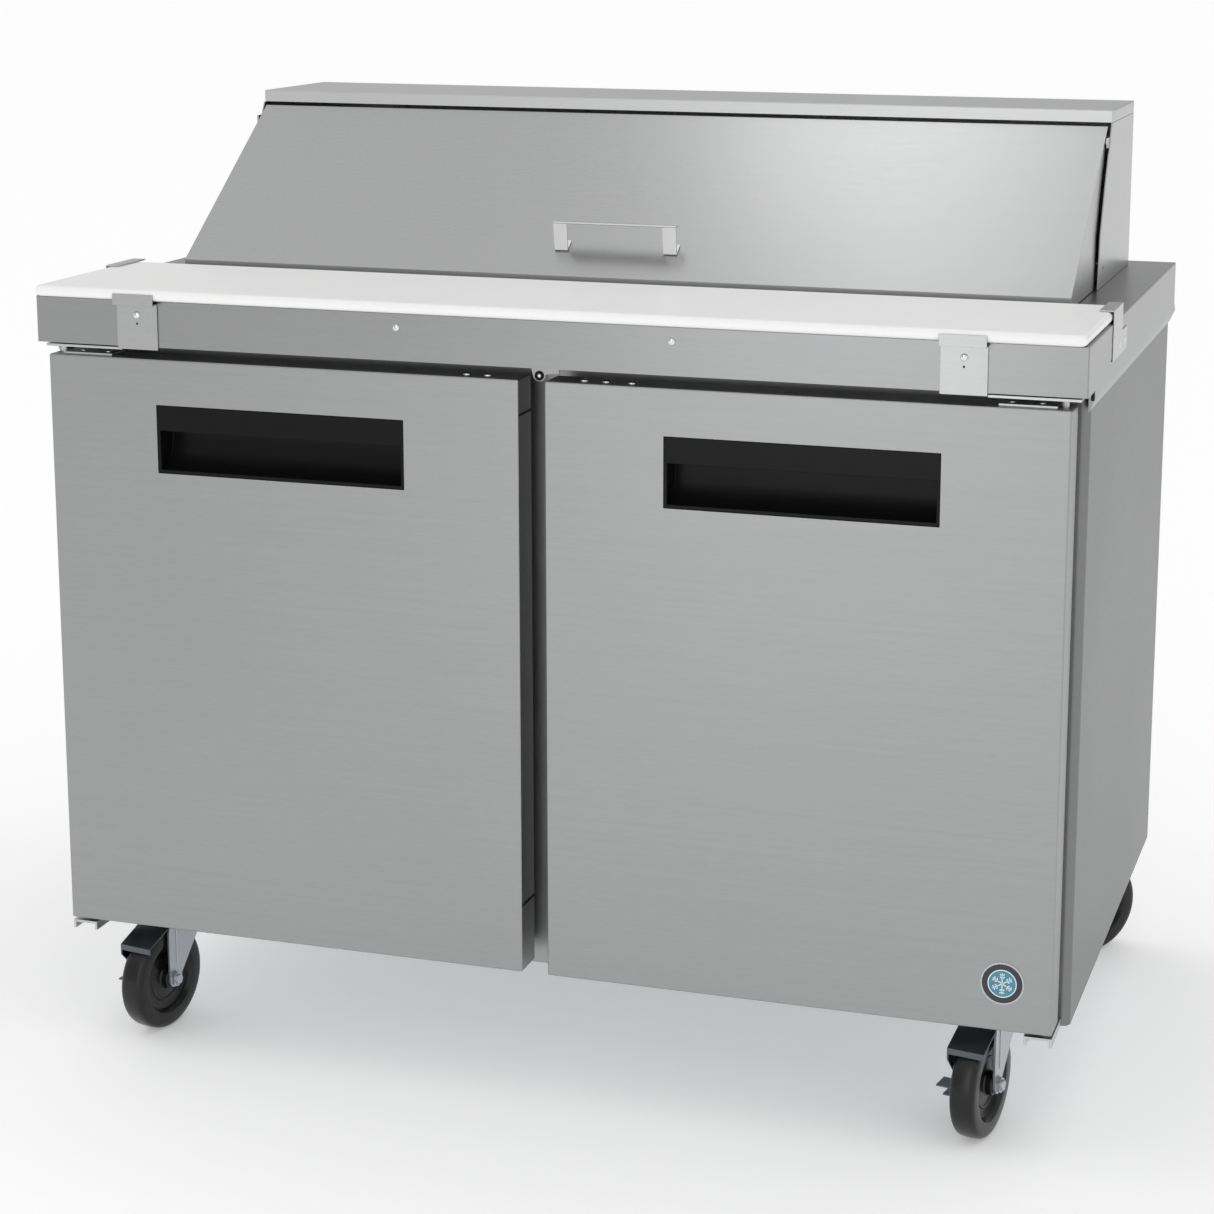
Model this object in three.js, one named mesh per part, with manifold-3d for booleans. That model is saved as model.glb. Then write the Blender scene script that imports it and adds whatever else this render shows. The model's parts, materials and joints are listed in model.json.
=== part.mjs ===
// Two-door refrigerated sandwich prep table on casters, in millimetres, +Z up.
// Shop axes while building: X to the right of a person facing the doors, Y = 0 at the worktop's front
// face and growing to the back, Z = 0 on the floor. The last line moves the origin to the bottom centre.

import * as THREE from 'three';
import { mergeVertices } from 'three/addons/utils/BufferGeometryUtils.js';
import Module from 'manifold-3d';

const wasm = await Module();
wasm.setup();

// ---------------------------------------------------------------- driving dimensions

const WIDTH = 1219.2;
const DEPTH = 732;
const WORK_HEIGHT = 914.4;
const FASCIA = 54;
const SHEET = 1.5;
const GAP = 0.4;
const FRONT_REACH = 12;
const HALF = WIDTH / 2;

const CABINET_HALF = 603;
const CABINET_FRONT = 64;
const CABINET_BACK = 728;
const CABINET_BOTTOM = 144;
const CORNER_R = 10;
const SIDE_FLANGE = 575;

const RAIL_START = 44.5;
const RAIL_DROP = 75.8;
const RAIL_TIP = 611.1;

const DOOR_INNER = 15.2;
const DOOR_OUTER = 594;
const DOOR_FRONT = -3.3;
const DOOR_BACK = 37.5;
const DOOR_BOTTOM = 158.2;
const DOOR_TOP = 847.3;
const LINER_BACK = 50;
const HINGE_X = 584;
const HINGE_Y = 17;
const PIN_R = 4;

const PULL_LEFT = 152;
const PULL_RIGHT = 458;
const PULL_BOTTOM = 714.4;
const PULL_TOP = 794.4;
const PULL_DEPTH = 32;

const OPENING_HALF = 530;
const OPENING_FRONT = 282;
const OPENING_BACK = 612;

const HOOD_HALF = 554.4;
const HOOD_BACK = 690.5;
const CAP_FRONT = 505.5;
const CAP_TOP = WORK_HEIGHT + 206.9;
const CAP_DEPTH = 14.6;

const LID_HALF = 549.6;
const LID_FRONT = 257;
const LID_PIVOT = [485, WORK_HEIGHT + 170];
const LID_PIN_R = 3;

const BOARD_HALF = 608;
const BOARD_FRONT = -10.2;
const BOARD_BACK = 227.6;
const BOARD_TOP = WORK_HEIGHT + 12.7;
const BOARD_CORNER = 10;

const PAN_COLUMNS = 6;
const PAN_PITCH = 176;
const PAN_ROW = 162;
const PAN_DEPTH = 100;
const PAN_FRONT = 285;

const WHEEL_R = 63.5;
const WHEEL_WIDTH = 30;
const CASTER_X = 511;
const CASTER_FRONT_Y = 110;
const CASTER_REAR_Y = 648;
const CASTER_TRAIL = 38;
const FORK_INNER = 18;
const PLATE_T = 4;
const FRONT_TURN = -10;
const REAR_TURN = { left: 20, right: 136 };

// ---------------------------------------------------------------- finishes

const finish = (color, roughness, metalness) => () =>
  new THREE.MeshStandardMaterial({ color, roughness, metalness });
const stainless = finish(0xb4b6b8, 0.35, 1);
const zinc = finish(0x9aa0a6, 0.4, 1);
const blackPlastic = finish(0x18181a, 0.45, 0);
const blackRubber = finish(0x1c1c1e, 0.6, 0);
const whiteBoard = finish(0xf0f1f1, 0.5, 0);
const whiteLiner = finish(0xe4e6e8, 0.45, 0);
const foam = finish(0xe8d9a8, 0.9, 0);
const greyGasket = finish(0x4a4c4f, 0.7, 0);
const copperCoil = finish(0xb9bcc0, 0.5, 1);
const blackSteel = finish(0x222326, 0.5, 0.6);

// ---------------------------------------------------------------- shape helpers

// A closed solid from any closed geometry.
function solid(geometry) {
  const bare = geometry.index ? geometry.toNonIndexed() : geometry.clone();
  for (const name of Object.keys(bare.attributes)) {
    if (name !== 'position') bare.deleteAttribute(name);
  }
  const merged = mergeVertices(bare, 1e-4);
  const corners = merged.index.array;
  const kept = [];
  for (let i = 0; i < corners.length; i += 3) {
    const [a, b, c] = corners.slice(i, i + 3);
    if (a !== b && b !== c && a !== c) kept.push(a, b, c);
  }
  return new wasm.Manifold(new wasm.Mesh({
    numProp: 3,
    vertProperties: new Float32Array(merged.attributes.position.array),
    triVerts: new Uint32Array(kept),
  }));
}

function box(x0, x1, y0, y1, z0, z1) {
  const geometry = new THREE.BoxGeometry(Math.abs(x1 - x0), Math.abs(y1 - y0), Math.abs(z1 - z0));
  return solid(geometry.translate((x0 + x1) / 2, (y0 + y1) / 2, (z0 + z1) / 2));
}

function extruded(shape, length, segments = 4) {
  return new THREE.ExtrudeGeometry(shape, { depth: length, bevelEnabled: false, curveSegments: segments });
}

const outline = (points) => new THREE.Shape(points.map(([u, v]) => new THREE.Vector2(u, v)));

// A prism along X: the outline is in (y, z).
function prismX(shape, x0, x1) {
  const turn = new THREE.Matrix4().makeBasis(
    new THREE.Vector3(0, 1, 0), new THREE.Vector3(0, 0, 1), new THREE.Vector3(1, 0, 0));
  return solid(extruded(shape, x1 - x0).applyMatrix4(turn).translate(x0, 0, 0));
}

// A prism along Y: the outline is in (x, z).
function prismY(shape, y0, y1) {
  const turn = new THREE.Matrix4().makeBasis(
    new THREE.Vector3(1, 0, 0), new THREE.Vector3(0, 0, 1), new THREE.Vector3(0, -1, 0));
  return solid(extruded(shape, y1 - y0).applyMatrix4(turn).translate(0, y1, 0));
}

// A prism along Z: the outline is in (x, y).
function prismZ(shape, z0, z1, segments = 4) {
  return solid(extruded(shape, z1 - z0, segments).translate(0, 0, z0));
}

function roundedRect(x0, x1, y0, y1, r) {
  const shape = new THREE.Shape();
  shape.moveTo(x0 + r, y0);
  shape.lineTo(x1 - r, y0);
  shape.absarc(x1 - r, y0 + r, r, -Math.PI / 2, 0, false);
  shape.lineTo(x1, y1 - r);
  shape.absarc(x1 - r, y1 - r, r, 0, Math.PI / 2, false);
  shape.lineTo(x0 + r, y1);
  shape.absarc(x0 + r, y1 - r, r, Math.PI / 2, Math.PI, false);
  shape.lineTo(x0, y0 + r);
  shape.absarc(x0 + r, y0 + r, r, Math.PI, 1.5 * Math.PI, false);
  return shape;
}

// A cylinder between two values along the named axis, centred on the other two coordinates.
function rod(axis, r, from, to, centre, sides = 16) {
  const geometry = new THREE.CylinderGeometry(r, r, to - from, sides);
  if (axis === 'x') geometry.rotateZ(Math.PI / 2);
  if (axis === 'z') geometry.rotateX(Math.PI / 2);
  const middle = (from + to) / 2;
  const at = {
    x: [middle, centre[0], centre[1]],
    y: [centre[0], middle, centre[1]],
    z: [centre[0], centre[1], middle],
  }[axis];
  return solid(geometry.translate(...at));
}

// A turned ring about X: the profile is a closed loop of (radius, x).
function turnedX(profile, sides, x, y, z) {
  const loop = [...profile, profile[0]].map(([r, along]) => new THREE.Vector2(r, along));
  const geometry = new THREE.LatheGeometry(loop, sides).rotateZ(-Math.PI / 2);
  return solid(geometry.translate(x, y, z));
}

function joined(pieces) {
  return pieces.reduce((sum, piece) => sum.add(piece));
}

function without(base, cuts) {
  return cuts.reduce((rest, cut) => rest.subtract(cut), base);
}

function toMesh(name, material, shape) {
  const { numProp, vertProperties, triVerts } = shape.getMesh();
  const positions = new Float32Array(triVerts.length * 3);
  triVerts.forEach((v, i) => {
    for (let k = 0; k < 3; k++) positions[3 * i + k] = vertProperties[numProp * v + k];
  });
  const geometry = new THREE.BufferGeometry();
  geometry.setAttribute('position', new THREE.BufferAttribute(positions, 3));
  geometry.computeVertexNormals();
  const mesh = new THREE.Mesh(geometry, material());
  mesh.name = name;
  return mesh;
}

const table = new THREE.Group();

function place(name, material, shape) {
  table.add(toMesh(name, material, shape));
}

const SIDES = [['left', -1], ['right', 1]];

// A box whose X limits are given for the right-hand side and mirrored to the named side.
function sideBox(s, x0, x1, y0, y1, z0, z1) {
  return box(s * x0, s * x1, y0, y1, z0, z1);
}

// A twelve-sided rod along X, mirrored in the same way.
function sideRod(s, r, x0, x1, centre) {
  return rod('x', r, Math.min(s * x0, s * x1), Math.max(s * x0, s * x1), centre, 12);
}

// Mirrors an outline's first coordinate for the named side, keeping it counter-clockwise.
function sideOutline(s, points) {
  const mirrored = points.map(([u, v]) => [s * u, v]);
  return outline(s < 0 ? mirrored.reverse() : mirrored);
}

// ---------------------------------------------------------------- worktop and board

function worktop() {
  const bottom = WORK_HEIGHT - FASCIA;
  const skin = HALF - SHEET;
  const lip = HALF - 6;
  const tray = without(box(-HALF, HALF, 0, DEPTH, bottom, WORK_HEIGHT), [
    box(-skin, skin, SHEET, DEPTH - SHEET, bottom + SHEET, WORK_HEIGHT - SHEET),
    box(-lip, lip, 14, DEPTH - 3, bottom - 1, bottom + 3),
    box(-OPENING_HALF, OPENING_HALF, OPENING_FRONT, OPENING_BACK, WORK_HEIGHT - 5, WORK_HEIGHT + 1),
  ]);
  const rails = SIDES.map(([, s]) => prismY(sideOutline(s, [
    [lip, bottom + SHEET],
    [CABINET_HALF + 0.6, WORK_HEIGHT - RAIL_DROP],
    [CABINET_HALF + 1.6, WORK_HEIGHT - RAIL_DROP],
    [RAIL_TIP, WORK_HEIGHT - 61],
    [HALF, bottom + SHEET],
  ]), RAIL_START, DEPTH));
  return joined([tray, ...rails]);
}

function boardBracket(s) {
  const inner = 454;
  const outer = 504.8;
  const seat = WORK_HEIGHT - 4.8;
  return joined([
    sideBox(s, inner, outer, -GAP - SHEET, -GAP, WORK_HEIGHT - 57, seat + SHEET),
    sideBox(s, inner, outer, -FRONT_REACH, -GAP, seat, seat + SHEET),
    sideBox(s, inner, outer, -FRONT_REACH, -FRONT_REACH + SHEET, seat, WORK_HEIGHT + 8),
  ]);
}

function boardClip(s) {
  const leg = HALF + GAP;
  return joined([
    sideBox(s, 594, leg + SHEET, 168, 238, BOARD_TOP + GAP, BOARD_TOP + GAP + SHEET),
    sideBox(s, leg, leg + SHEET, 168, 238, WORK_HEIGHT - 42, BOARD_TOP + GAP + SHEET),
    sideBox(s, leg, leg + SHEET, 168, 276, WORK_HEIGHT - 42, WORK_HEIGHT - 16),
  ]);
}

place('worktop', stainless, worktop());
place('cutting_board', whiteBoard, prismZ(
  roundedRect(-BOARD_HALF, BOARD_HALF, BOARD_FRONT, BOARD_BACK, BOARD_CORNER), WORK_HEIGHT + GAP, BOARD_TOP));
for (const [name, s] of SIDES) {
  place(`board_bracket_${name}`, stainless, boardBracket(s));
  place(`board_clip_${name}`, stainless, boardClip(s));
}

// ---------------------------------------------------------------- hood over the pans

const HOOD_BASE = WORK_HEIGHT + GAP;
const HOOD_TOP = CAP_TOP - CAP_DEPTH - GAP;

function hoodShell() {
  const inside = HOOD_HALF - SHEET;
  const profile = outline([
    [429, HOOD_BASE],
    [HOOD_BACK, HOOD_BASE],
    [HOOD_BACK, HOOD_TOP],
    [503, HOOD_TOP],
    [463.5, WORK_HEIGHT + 122.4],
    [436, WORK_HEIGHT + 64],
  ]);
  const walls = prismX(profile, -HOOD_HALF, HOOD_HALF)
    .subtract(box(-inside, inside, 400, HOOD_BACK - SHEET, WORK_HEIGHT - 1, HOOD_TOP + 1));
  const [y, z] = LID_PIVOT;
  const lugs = SIDES.map(([, s]) => sideBox(s, LID_HALF + 1.5, inside + 0.5, y - 6, y + 14, z - 6, z + 6));
  const pins = SIDES.map(([, s]) => sideRod(s, LID_PIN_R, 543, inside + 0.5, LID_PIVOT));
  return joined([walls, ...lugs, ...pins]);
}

function hoodCap() {
  const inside = HOOD_HALF - SHEET;
  return box(-HOOD_HALF, HOOD_HALF, CAP_FRONT, HOOD_BACK, CAP_TOP - CAP_DEPTH, CAP_TOP).subtract(
    box(-inside, inside, CAP_FRONT + SHEET, HOOD_BACK - SHEET, CAP_TOP - CAP_DEPTH - 1, CAP_TOP - SHEET));
}

place('hood_shell', stainless, hoodShell());
place('hood_cap', stainless, hoodCap());

// ---------------------------------------------------------------- lid

const LID_SLOPE = Math.atan2(188 - 13.7, 500 - LID_FRONT);
const LID_EDGE = WORK_HEIGHT + 13.7;

// A point of the lid in (y, z): up the slope from its lower edge, and out from its face.
function lidPoint(up, out) {
  return [
    LID_FRONT + up * Math.cos(LID_SLOPE) - out * Math.sin(LID_SLOPE),
    LID_EDGE + up * Math.sin(LID_SLOPE) + out * Math.cos(LID_SLOPE),
  ];
}

const LID_LENGTH = (500 - LID_FRONT) / Math.cos(LID_SLOPE);

function lidSkin() {
  const inside = LID_HALF - SHEET;
  const flangeBase = WORK_HEIGHT + 1.2;
  const whole = prismX(outline([
    [LID_FRONT, flangeBase],
    [437, flangeBase],
    [436, WORK_HEIGHT + 64],
    [461.8, WORK_HEIGHT + 122.4],
    lidPoint(LID_LENGTH, -5),
    lidPoint(LID_LENGTH, 0),
    [LID_FRONT, LID_EDGE],
  ]), -LID_HALF, LID_HALF);
  const hollow = prismX(outline([
    [LID_FRONT + SHEET, flangeBase - 5],
    [560, flangeBase - 5],
    [560, WORK_HEIGHT + 230],
    lidPoint(LID_LENGTH + 20, -SHEET),
    lidPoint(SHEET, -SHEET),
  ]), -inside, inside);
  const holes = SIDES.map(([, s]) => sideRod(s, LID_PIN_R + GAP, 540, 560, LID_PIVOT));
  return without(whole, [hollow, ...holes]);
}

function lidInsulation() {
  const inside = LID_HALF - SHEET - 1.5;
  const top = SHEET + GAP;
  return prismX(outline([
    lidPoint(40, -top - 20),
    lidPoint(250, -top - 20),
    lidPoint(250, -top),
    lidPoint(30, -top),
  ]), -inside, inside);
}

function lidHandle() {
  const stand = 29;
  const strap = 2.5;
  const grip = prismX(outline([
    lidPoint(57, stand - strap),
    lidPoint(71, stand - strap),
    lidPoint(71, stand),
    lidPoint(57, stand),
  ]), -77, 77);
  const legs = SIDES.map(([, s]) => {
    const [x0, x1] = s < 0 ? [-77, -60] : [60, 77];
    return prismX(outline([
      lidPoint(43, GAP),
      lidPoint(43 + strap, GAP),
      lidPoint(57 + strap, stand - strap / 2),
      lidPoint(57, stand - strap / 2),
    ]), x0, x1).add(prismX(outline([
      lidPoint(43, GAP),
      lidPoint(60, GAP),
      lidPoint(60, GAP + strap),
      lidPoint(43, GAP + strap),
    ]), x0, x1));
  });
  return joined([grip, ...legs]);
}

place('lid', stainless, lidSkin());
place('lid_insulation', whiteLiner, lidInsulation());
place('lid_handle', stainless, lidHandle());

// ---------------------------------------------------------------- pan rack and food pans

const RACK_BASE = WORK_HEIGHT + GAP;
const RACK_TOP = RACK_BASE + 1.6;

function panRack() {
  const frame = without(box(-540, 540, 272, 622, RACK_BASE, RACK_TOP), [
    box(-520, 520, PAN_FRONT + 7, PAN_FRONT + 2 * PAN_ROW - 5, RACK_BASE - 1, RACK_TOP + 1),
  ]);
  const curb = box(-529, 529, 283, 611, WORK_HEIGHT - 32, RACK_TOP)
    .subtract(box(-527.4, 527.4, 284.6, 609.4, WORK_HEIGHT - 33, RACK_TOP + 1));
  const bars = [];
  for (let i = 1; i < PAN_COLUMNS; i++) {
    const x = (i - PAN_COLUMNS / 2) * PAN_PITCH;
    bars.push(box(x - 5, x + 5, 280, 614, RACK_BASE, RACK_TOP));
  }
  return joined([frame, curb, ...bars]);
}

// One column of two pans whose rims meet in the middle.
function panColumn(column) {
  const x = (column - (PAN_COLUMNS - 1) / 2) * PAN_PITCH;
  const rim = RACK_TOP + GAP;
  const wall = 1.2;
  const halfWell = 75;
  const wells = [0, 1].map((row) => {
    const y = PAN_FRONT + PAN_ROW * (row + 0.5);
    return [x - halfWell, x + halfWell, y - 68, y + 68];
  });
  const sheet = box(x - PAN_PITCH / 2 + 0.6, x + PAN_PITCH / 2 - 0.6, PAN_FRONT, PAN_FRONT + 2 * PAN_ROW, rim, rim + wall);
  const outers = wells.map(([x0, x1, y0, y1]) => box(x0, x1, y0, y1, rim - PAN_DEPTH, rim + wall));
  const inners = wells.map(([x0, x1, y0, y1]) =>
    box(x0 + wall, x1 - wall, y0 + wall, y1 - wall, rim - PAN_DEPTH + wall, rim + 5));
  return without(joined([sheet, ...outers]), inners);
}

place('pan_rack', stainless, panRack());
for (let column = 0; column < PAN_COLUMNS; column++) {
  place(`food_pans_${column + 1}`, stainless, panColumn(column));
}

// ---------------------------------------------------------------- cabinet body

const UNDER_TOP = WORK_HEIGHT - SHEET - GAP;

function sidePanel(s) {
  const r = CORNER_R;
  const plan = (inset) => {
    const shape = new THREE.Shape();
    const start = SIDE_FLANGE - (inset ? 1 : 0);
    shape.moveTo(s * start, CABINET_FRONT + inset);
    shape.lineTo(s * (CABINET_HALF - r), CABINET_FRONT + inset);
    const centre = [s * (CABINET_HALF - r), CABINET_FRONT + r];
    if (s > 0) shape.absarc(...centre, r - inset, -Math.PI / 2, 0, false);
    else shape.absarc(...centre, r - inset, -Math.PI / 2, -Math.PI, true);
    shape.lineTo(s * (CABINET_HALF - inset), CABINET_BACK - inset);
    shape.lineTo(s * start, CABINET_BACK - inset);
    return shape;
  };
  return prismZ(plan(0), CABINET_BOTTOM, UNDER_TOP)
    .subtract(prismZ(plan(SHEET), CABINET_BOTTOM - 1, UNDER_TOP + 1));
}

const FRAME_BACK = 86;
const FRAME_HALF = SIDE_FLANGE - 0.5;
const MULLION_HALF = 46;
const DOORWAY_OUTER = 545;
const DOORWAY_BOTTOM = 190;
const DOORWAY_TOP = 815;

function faceFrame() {
  return without(box(-FRAME_HALF, FRAME_HALF, CABINET_FRONT, FRAME_BACK, CABINET_BOTTOM, UNDER_TOP),
    SIDES.map(([, s]) => sideBox(s, MULLION_HALF, DOORWAY_OUTER,
      CABINET_FRONT - 1, FRAME_BACK + 1, DOORWAY_BOTTOM, DOORWAY_TOP)));
}

const INSIDE_FRONT = FRAME_BACK + GAP;
const STEP_Y = 452;
const STEP_Z = 412;
const LINER_REAR = 672;
const LINER_TOP = 858;
const LINER_BASE = DOORWAY_BOTTOM - 2;

// The stepped section of the food compartment, grown or shrunk by an offset.
function compartment(grow, front) {
  return outline([
    [front, LINER_BASE - grow],
    [STEP_Y + grow, LINER_BASE - grow],
    [STEP_Y + grow, STEP_Z - grow],
    [LINER_REAR + grow, STEP_Z - grow],
    [LINER_REAR + grow, LINER_TOP + grow],
    [front, LINER_TOP + grow],
  ]);
}

const panWell = (margin) => box(-OPENING_HALF - margin, OPENING_HALF + margin,
  OPENING_FRONT - margin, OPENING_BACK + margin, LINER_TOP - 10, WORK_HEIGHT + 1);

function innerLiner() {
  return without(prismX(compartment(0, INSIDE_FRONT), -DOORWAY_OUTER, DOORWAY_OUTER), [
    prismX(compartment(-SHEET, INSIDE_FRONT - 1), -DOORWAY_OUTER + SHEET, DOORWAY_OUTER - SHEET),
    panWell(0),
  ]);
}

function insulation() {
  const half = CABINET_HALF - SHEET - GAP;
  const rear = CABINET_BACK - SHEET - GAP;
  const base = CABINET_BOTTOM + 3 + GAP;
  const whole = prismX(outline([
    [INSIDE_FRONT, base],
    [STEP_Y + 18, base],
    [STEP_Y + 18, STEP_Z - 16],
    [rear, STEP_Z - 16],
    [rear, UNDER_TOP - GAP],
    [INSIDE_FRONT, UNDER_TOP - GAP],
  ]), -half, half);
  return without(whole, [
    prismX(compartment(GAP, INSIDE_FRONT - 1), -DOORWAY_OUTER - GAP, DOORWAY_OUTER + GAP),
    panWell(0),
  ]);
}

const MACHINE_Y = 712;
const MACHINE_TOP = 395;

// Louvred rear cover of the machine space.
function machineCover() {
  const slots = [];
  for (let row = 0; row < 9; row++) {
    for (const x of [-270, 270]) {
      const z = 190 + row * 20;
      slots.push(box(x - 200, x + 200, MACHINE_Y - 1, MACHINE_Y + 5, z, z + 9));
    }
  }
  return without(box(-573, 573, MACHINE_Y, MACHINE_Y + SHEET, 150, MACHINE_TOP), slots);
}

for (const [name, s] of SIDES) place(`side_panel_${name}`, stainless, sidePanel(s));
place('face_frame', stainless, faceFrame());
place('inner_liner', whiteLiner, innerLiner());
place('insulation', foam, insulation());
place('back_panel', zinc, box(-SIDE_FLANGE + 0.5, SIDE_FLANGE - 0.5,
  CABINET_BACK - SHEET, CABINET_BACK, MACHINE_TOP + 1, UNDER_TOP));
place('base_panel', zinc, box(-CABINET_HALF + SHEET + GAP, CABINET_HALF - SHEET - GAP,
  INSIDE_FRONT, CABINET_BACK - SHEET - GAP, CABINET_BOTTOM, CABINET_BOTTOM + 3));
place('machine_cover', zinc, machineCover());

// ---------------------------------------------------------------- shelves

function shelf(s) {
  const bar = 5;
  const z = 500;
  const [x0, x1, y0, y1] = [6, 540, 100, 560];
  const bars = [
    sideBox(s, x0, x1, y0, y0 + bar, z, z + bar),
    sideBox(s, x0, x1, y1 - bar, y1, z, z + bar),
    sideBox(s, x0, x0 + bar, y0, y1, z, z + bar),
    sideBox(s, x1 - bar, x1, y0, y1, z, z + bar),
  ];
  const wires = 12;
  for (let i = 1; i < wires; i++) {
    const x = x0 + (x1 - x0) * i / wires;
    bars.push(sideBox(s, x - 1.5, x + 1.5, y0, y1, z + 1, z + bar - 1));
  }
  return joined(bars);
}

for (const [name, s] of SIDES) place(`shelf_${name}`, zinc, shelf(s));

// ---------------------------------------------------------------- refrigeration unit

const EVAPORATOR_FAN = { x: 120, y: 585, z: 512, r: 60 };
const CONDENSER_FAN = { x: 425, y: 632, z: 275, r: 92 };

function fan({ x, y, z, r }) {
  const blades = [];
  const count = 5;
  for (let i = 0; i < count; i++) {
    const blade = new THREE.BoxGeometry(r - 12, 2.5, r * 0.42)
      .rotateX(0.5)
      .translate((r - 12) / 2 + 8, 0, 0)
      .rotateY(2 * Math.PI * i / count)
      .translate(x, y, z);
    blades.push(solid(blade));
  }
  return joined([rod('y', 18, y - 10, y + 10, [x, z], 16), ...blades]);
}

function evaporator() {
  const { x, y, z, r } = EVAPORATOR_FAN;
  const fins = [];
  for (let i = 0; i < 12; i++) {
    const at = -240 + i * 24;
    fins.push(box(at, at + 14, 560, 575, 440, 584));
  }
  return without(box(-260, 260, 569, LINER_REAR - SHEET - GAP, 430, 595), [
    rod('y', r + 5, 560, y + 22, [x, z], 24),
    ...fins,
  ]);
}

function condenser() {
  const { x, y, z, r } = CONDENSER_FAN;
  const fins = [];
  for (let i = 0; i < 14; i++) {
    const at = 298 + i * 18;
    fins.push(box(at, at + 9, 690, 705, 180, 370));
  }
  return without(box(290, 560, 612, 700, 152, 385), [
    rod('y', r + 6, 600, y + 18, [x, z], 24),
    ...fins,
  ]);
}

function compressor() {
  const profile = [[0, 152], [105, 152], [105, 160], [88, 164], [88, 262], [84, 282], [66, 302], [36, 314], [0, 317]];
  const dome = new THREE.LatheGeometry(profile.map(([r, z]) => new THREE.Vector2(r, z)), 20)
    .rotateX(Math.PI / 2);
  return solid(dome.translate(-380, 600, 0));
}

function cordGland() {
  const y = MACHINE_Y + SHEET + GAP;
  return without(joined([
    rod('y', 14, y, y + 5, [-505, 172], 6),
    rod('y', 9, y, y + 15, [-505, 172], 16),
  ]), [rod('y', 4.5, y - 1, y + 16, [-505, 172], 12)]);
}

place('evaporator', copperCoil, evaporator());
place('evaporator_fan', blackPlastic, fan(EVAPORATOR_FAN));
place('condenser', copperCoil, condenser());
place('condenser_fan', blackPlastic, fan(CONDENSER_FAN));
place('compressor', blackSteel, compressor());
place('cord_gland', blackPlastic, cordGland());

// ---------------------------------------------------------------- doors

const PULL_GAP = 0.4;

function doorSkin(s) {
  return without(sideBox(s, DOOR_INNER, DOOR_OUTER, DOOR_FRONT, DOOR_BACK, DOOR_BOTTOM, DOOR_TOP), [
    sideBox(s, DOOR_INNER + SHEET, DOOR_OUTER - SHEET, DOOR_FRONT + SHEET, DOOR_BACK + 1,
      DOOR_BOTTOM + SHEET, DOOR_TOP - SHEET),
    sideBox(s, PULL_LEFT, PULL_RIGHT, DOOR_FRONT - 1, DOOR_FRONT + 5, PULL_BOTTOM, PULL_TOP),
    rod('z', PIN_R + GAP, DOOR_TOP - 5, DOOR_TOP + 5, [s * HINGE_X, HINGE_Y], 12),
    rod('z', PIN_R + GAP, DOOR_BOTTOM - 5, DOOR_BOTTOM + 5, [s * HINGE_X, HINGE_Y], 12),
  ]);
}

function doorLiner(s) {
  const skin = SHEET + GAP;
  const inset = 9;
  const core = sideBox(s, DOOR_INNER + skin, DOOR_OUTER - skin, DOOR_FRONT + skin, DOOR_BACK,
    DOOR_BOTTOM + skin, DOOR_TOP - skin);
  const raised = sideBox(s, DOOR_INNER + inset, DOOR_OUTER - inset, DOOR_BACK - 1, LINER_BACK,
    DOOR_BOTTOM + inset, DOOR_TOP - inset);
  return without(core.add(raised), [
    sideBox(s, PULL_LEFT - GAP, PULL_RIGHT + GAP, DOOR_FRONT - 1, PULL_DEPTH,
      PULL_BOTTOM - GAP, PULL_TOP + GAP),
    rod('z', PIN_R + GAP, DOOR_TOP - 20, DOOR_TOP + 5, [s * HINGE_X, HINGE_Y], 12),
    rod('z', PIN_R + GAP, DOOR_BOTTOM - 5, DOOR_BOTTOM + 20, [s * HINGE_X, HINGE_Y], 12),
  ]);
}

function doorGasket(s) {
  const [y0, y1] = [LINER_BACK + GAP, CABINET_FRONT - GAP];
  return sideBox(s, DOOR_INNER + 12, DOOR_OUTER - 12, y0, y1, DOOR_BOTTOM + 12, DOOR_TOP - 12).subtract(
    sideBox(s, DOOR_INNER + 28, DOOR_OUTER - 28, y0 - 1, y1 + 1, DOOR_BOTTOM + 28, DOOR_TOP - 28));
}

// A recessed pull: a flat lip over the upper part, and a rounded hollow behind and below it.
function doorPull(s) {
  const g = PULL_GAP;
  const body = sideBox(s, PULL_LEFT + g, PULL_RIGHT - g, DOOR_FRONT + 0.3, PULL_DEPTH - g,
    PULL_BOTTOM + g, PULL_TOP - g);
  const hollow = prismX(outline([
    [DOOR_FRONT - 5, PULL_BOTTOM + 4],
    [DOOR_FRONT + 9, PULL_BOTTOM + 5],
    [DOOR_FRONT + 20, PULL_BOTTOM + 12],
    [PULL_DEPTH - 6, PULL_BOTTOM + 26],
    [PULL_DEPTH - 4, PULL_BOTTOM + 42],
    [PULL_DEPTH - 4, PULL_TOP - 6],
    [DOOR_FRONT + 6, PULL_TOP - 6],
    [DOOR_FRONT + 6, PULL_BOTTOM + 50],
    [DOOR_FRONT - 5, PULL_BOTTOM + 50],
  ]), ...(s < 0 ? [-PULL_RIGHT + 4, -PULL_LEFT - 4] : [PULL_LEFT + 4, PULL_RIGHT - 4]));
  return body.subtract(hollow);
}

function topHinge(s) {
  const z = WORK_HEIGHT - 59.5;
  return joined([
    sideBox(s, 504, 602, 6, 63.6, z, z + 3),
    sideBox(s, 504, 573, 60.6, 63.6, z, z + 45),
    rod('z', PIN_R, DOOR_TOP - 16, z + 2, [s * HINGE_X, HINGE_Y], 12),
  ]);
}

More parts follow.
